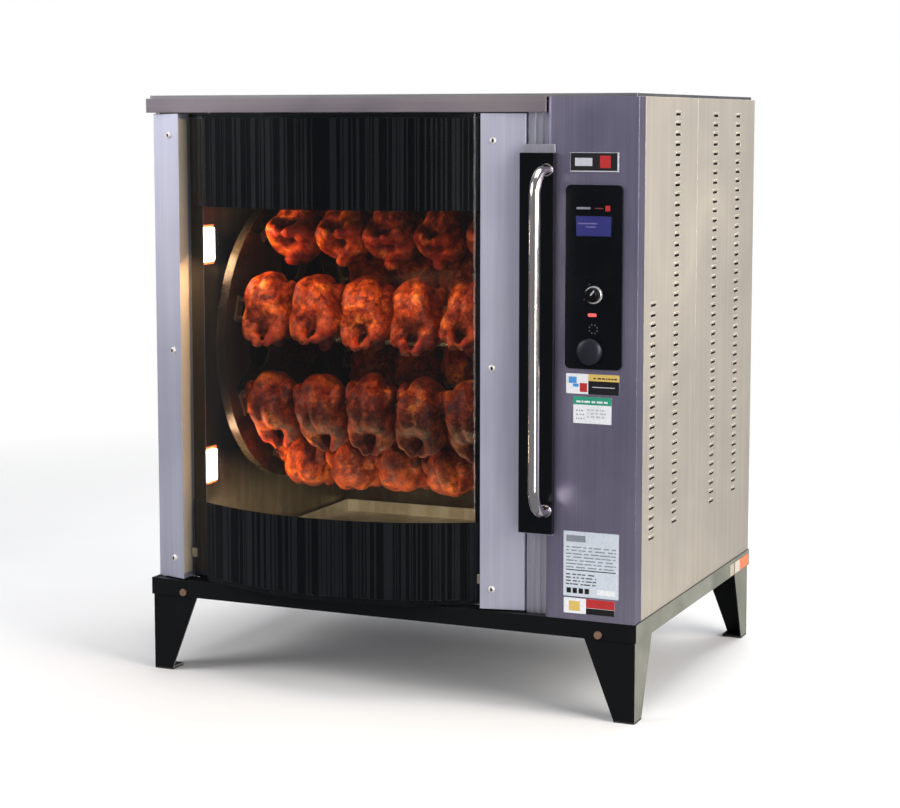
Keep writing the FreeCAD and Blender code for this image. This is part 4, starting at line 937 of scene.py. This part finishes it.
def add_stage():
    """A pale floor that fades into a white room; only the camera sees the white, so it lights nothing."""
    bpy.ops.mesh.primitive_circle_add(vertices=96, radius=FLOOR_RADIUS, fill_type="NGON", location=(0, 0, 0))
    floor = bpy.context.object
    floor.name = "floor"
    g = Graph("floor_paint")
    paint = g.ramp(g.noise(0.8), (0.3, tone(240, 240, 241)), (0.7, tone(245, 245, 245)))
    g.set(Base_Color=paint, Roughness=0.75)
    away = g.add("VectorMath", {0: g.here}, operation="LENGTH").outputs["Value"]
    fade = g.span(away, 0.0, 1.0, 1.6, 3.3)
    clear = g.add("BsdfTransparent").outputs["BSDF"]
    blend = g.add("MixShader", {0: fade, 1: g.shader.outputs["BSDF"], 2: clear})
    g.feed(g.output.inputs["Surface"], blend.outputs["Shader"])
    floor.data.materials.append(g.material)
    floor.visible_glossy = False

    world = bpy.data.worlds.new("studio")
    world.use_nodes = True
    tree = world.node_tree
    room = tree.nodes["Background"]
    room.inputs["Color"].default_value = (0.92, 0.94, 1.0, 1)
    room.inputs["Strength"].default_value = 0.22
    paper = tree.nodes.new("ShaderNodeBackground")
    paper.inputs["Color"].default_value = (1, 1, 1, 1)
    paths = tree.nodes.new("ShaderNodeLightPath")
    blend = tree.nodes.new("ShaderNodeMixShader")
    tree.links.new(paths.outputs["Is Camera Ray"], blend.inputs[0])
    tree.links.new(room.outputs["Background"], blend.inputs[1])
    tree.links.new(paper.outputs["Background"], blend.inputs[2])
    tree.links.new(blend.outputs["Shader"], tree.nodes["World Output"].inputs["Surface"])
    bpy.context.scene.world = world


def area_light(name, place, target, size, power, colour, size_y=None):
    data = bpy.data.lights.new(name, "AREA")
    data.shape = "RECTANGLE"
    data.size = size
    data.size_y = size_y or size
    data.energy = power
    data.color = colour
    light = bpy.data.objects.new(name, data)
    light.location = place
    light.rotation_mode = "QUATERNION"
    light.rotation_quaternion = (Vector(target) - Vector(place)).to_track_quat("-Z", "Y")
    light.visible_camera = False
    bpy.context.scene.collection.objects.link(light)
    return light


def add_lights():
    """Studio lights round the oven and small warm ones in the cavity, which no surface mirrors."""
    area_light("key", (-3.4, -2.6, 2.6), (0, 0, 0.6), 2.4, 112, (1.0, 0.99, 0.98))
    front = area_light("front", (0.4, -4.6, 1.2), (0, 0, 0.6), 1.8, 40, (0.97, 0.97, 1.0))
    front.visible_glossy = False
    area_light("fill", (3.6, -0.9, 1.9), (0, 0, 0.6), 2.4, 165, (1.0, 0.96, 0.90))
    strip = area_light("strip", (2.3, -2.3, 0.9), (0.3, -0.4, 0.7), 0.7, 36, (1.0, 0.98, 0.96), 2.2)
    strip.visible_diffuse = False
    area_light("back", (0.6, 3.4, 2.8), (0, 0, 0.6), 2.4, 80, (0.95, 0.97, 1.0))
    area_light("top", (0, 0.2, 4.2), (0, 0, 0), 3.4, 80, (1.0, 1.0, 1.0))
    warm, pale = (1.0, 0.64, 0.34), (1.0, 0.80, 0.58)
    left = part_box("cavity_left_wall")[1].x
    inside = []
    for name, place, target, power, colour in (
        ("cavity_top", (GLASS_MID, FRONT - 0.012, 0.800), (GLASS_MID, FRONT + 0.10, 0.64), 2.5, warm),
        ("cavity_low", (GLASS_MID, FRONT + 0.080, 0.31), (GLASS_MID, FRONT + 0.15, 0.20), 6.0, pale),
    ):
        inside.append(area_light(name, place, target, 0.55, power, colour, 0.03))
    for z in LAMP_HEIGHTS:
        place = (left + 0.016, FRONT + 0.105, z)
        inside.append(area_light(f"lamp_{int(z * 1000)}", place, (0.2, ROTOR_AXIS.y, z), 0.05, 3.0, warm))
    for light in inside:
        light.visible_glossy = False


def add_camera():
    """The photograph's view: standing in front of the right-hand corner, looking slightly down."""
    data = bpy.data.cameras.new("camera")
    data.lens = 84.1
    data.sensor_width = 36
    data.shift_y = -0.06
    camera = bpy.data.objects.new("camera", data)
    camera.location = (1.674, -3.8444, 1.0769)
    camera.rotation_euler = (math.radians(90 - 6.184), 0, math.radians(23.644))
    bpy.context.scene.collection.objects.link(camera)
    bpy.context.scene.camera = camera
    bpy.context.scene.view_settings.view_transform = "Standard"


finish_nodes()
add_chickens()
add_door_details()
add_controls()
add_prints()
add_cavity()
add_casing_details()
add_stage()
add_lights()
add_camera()
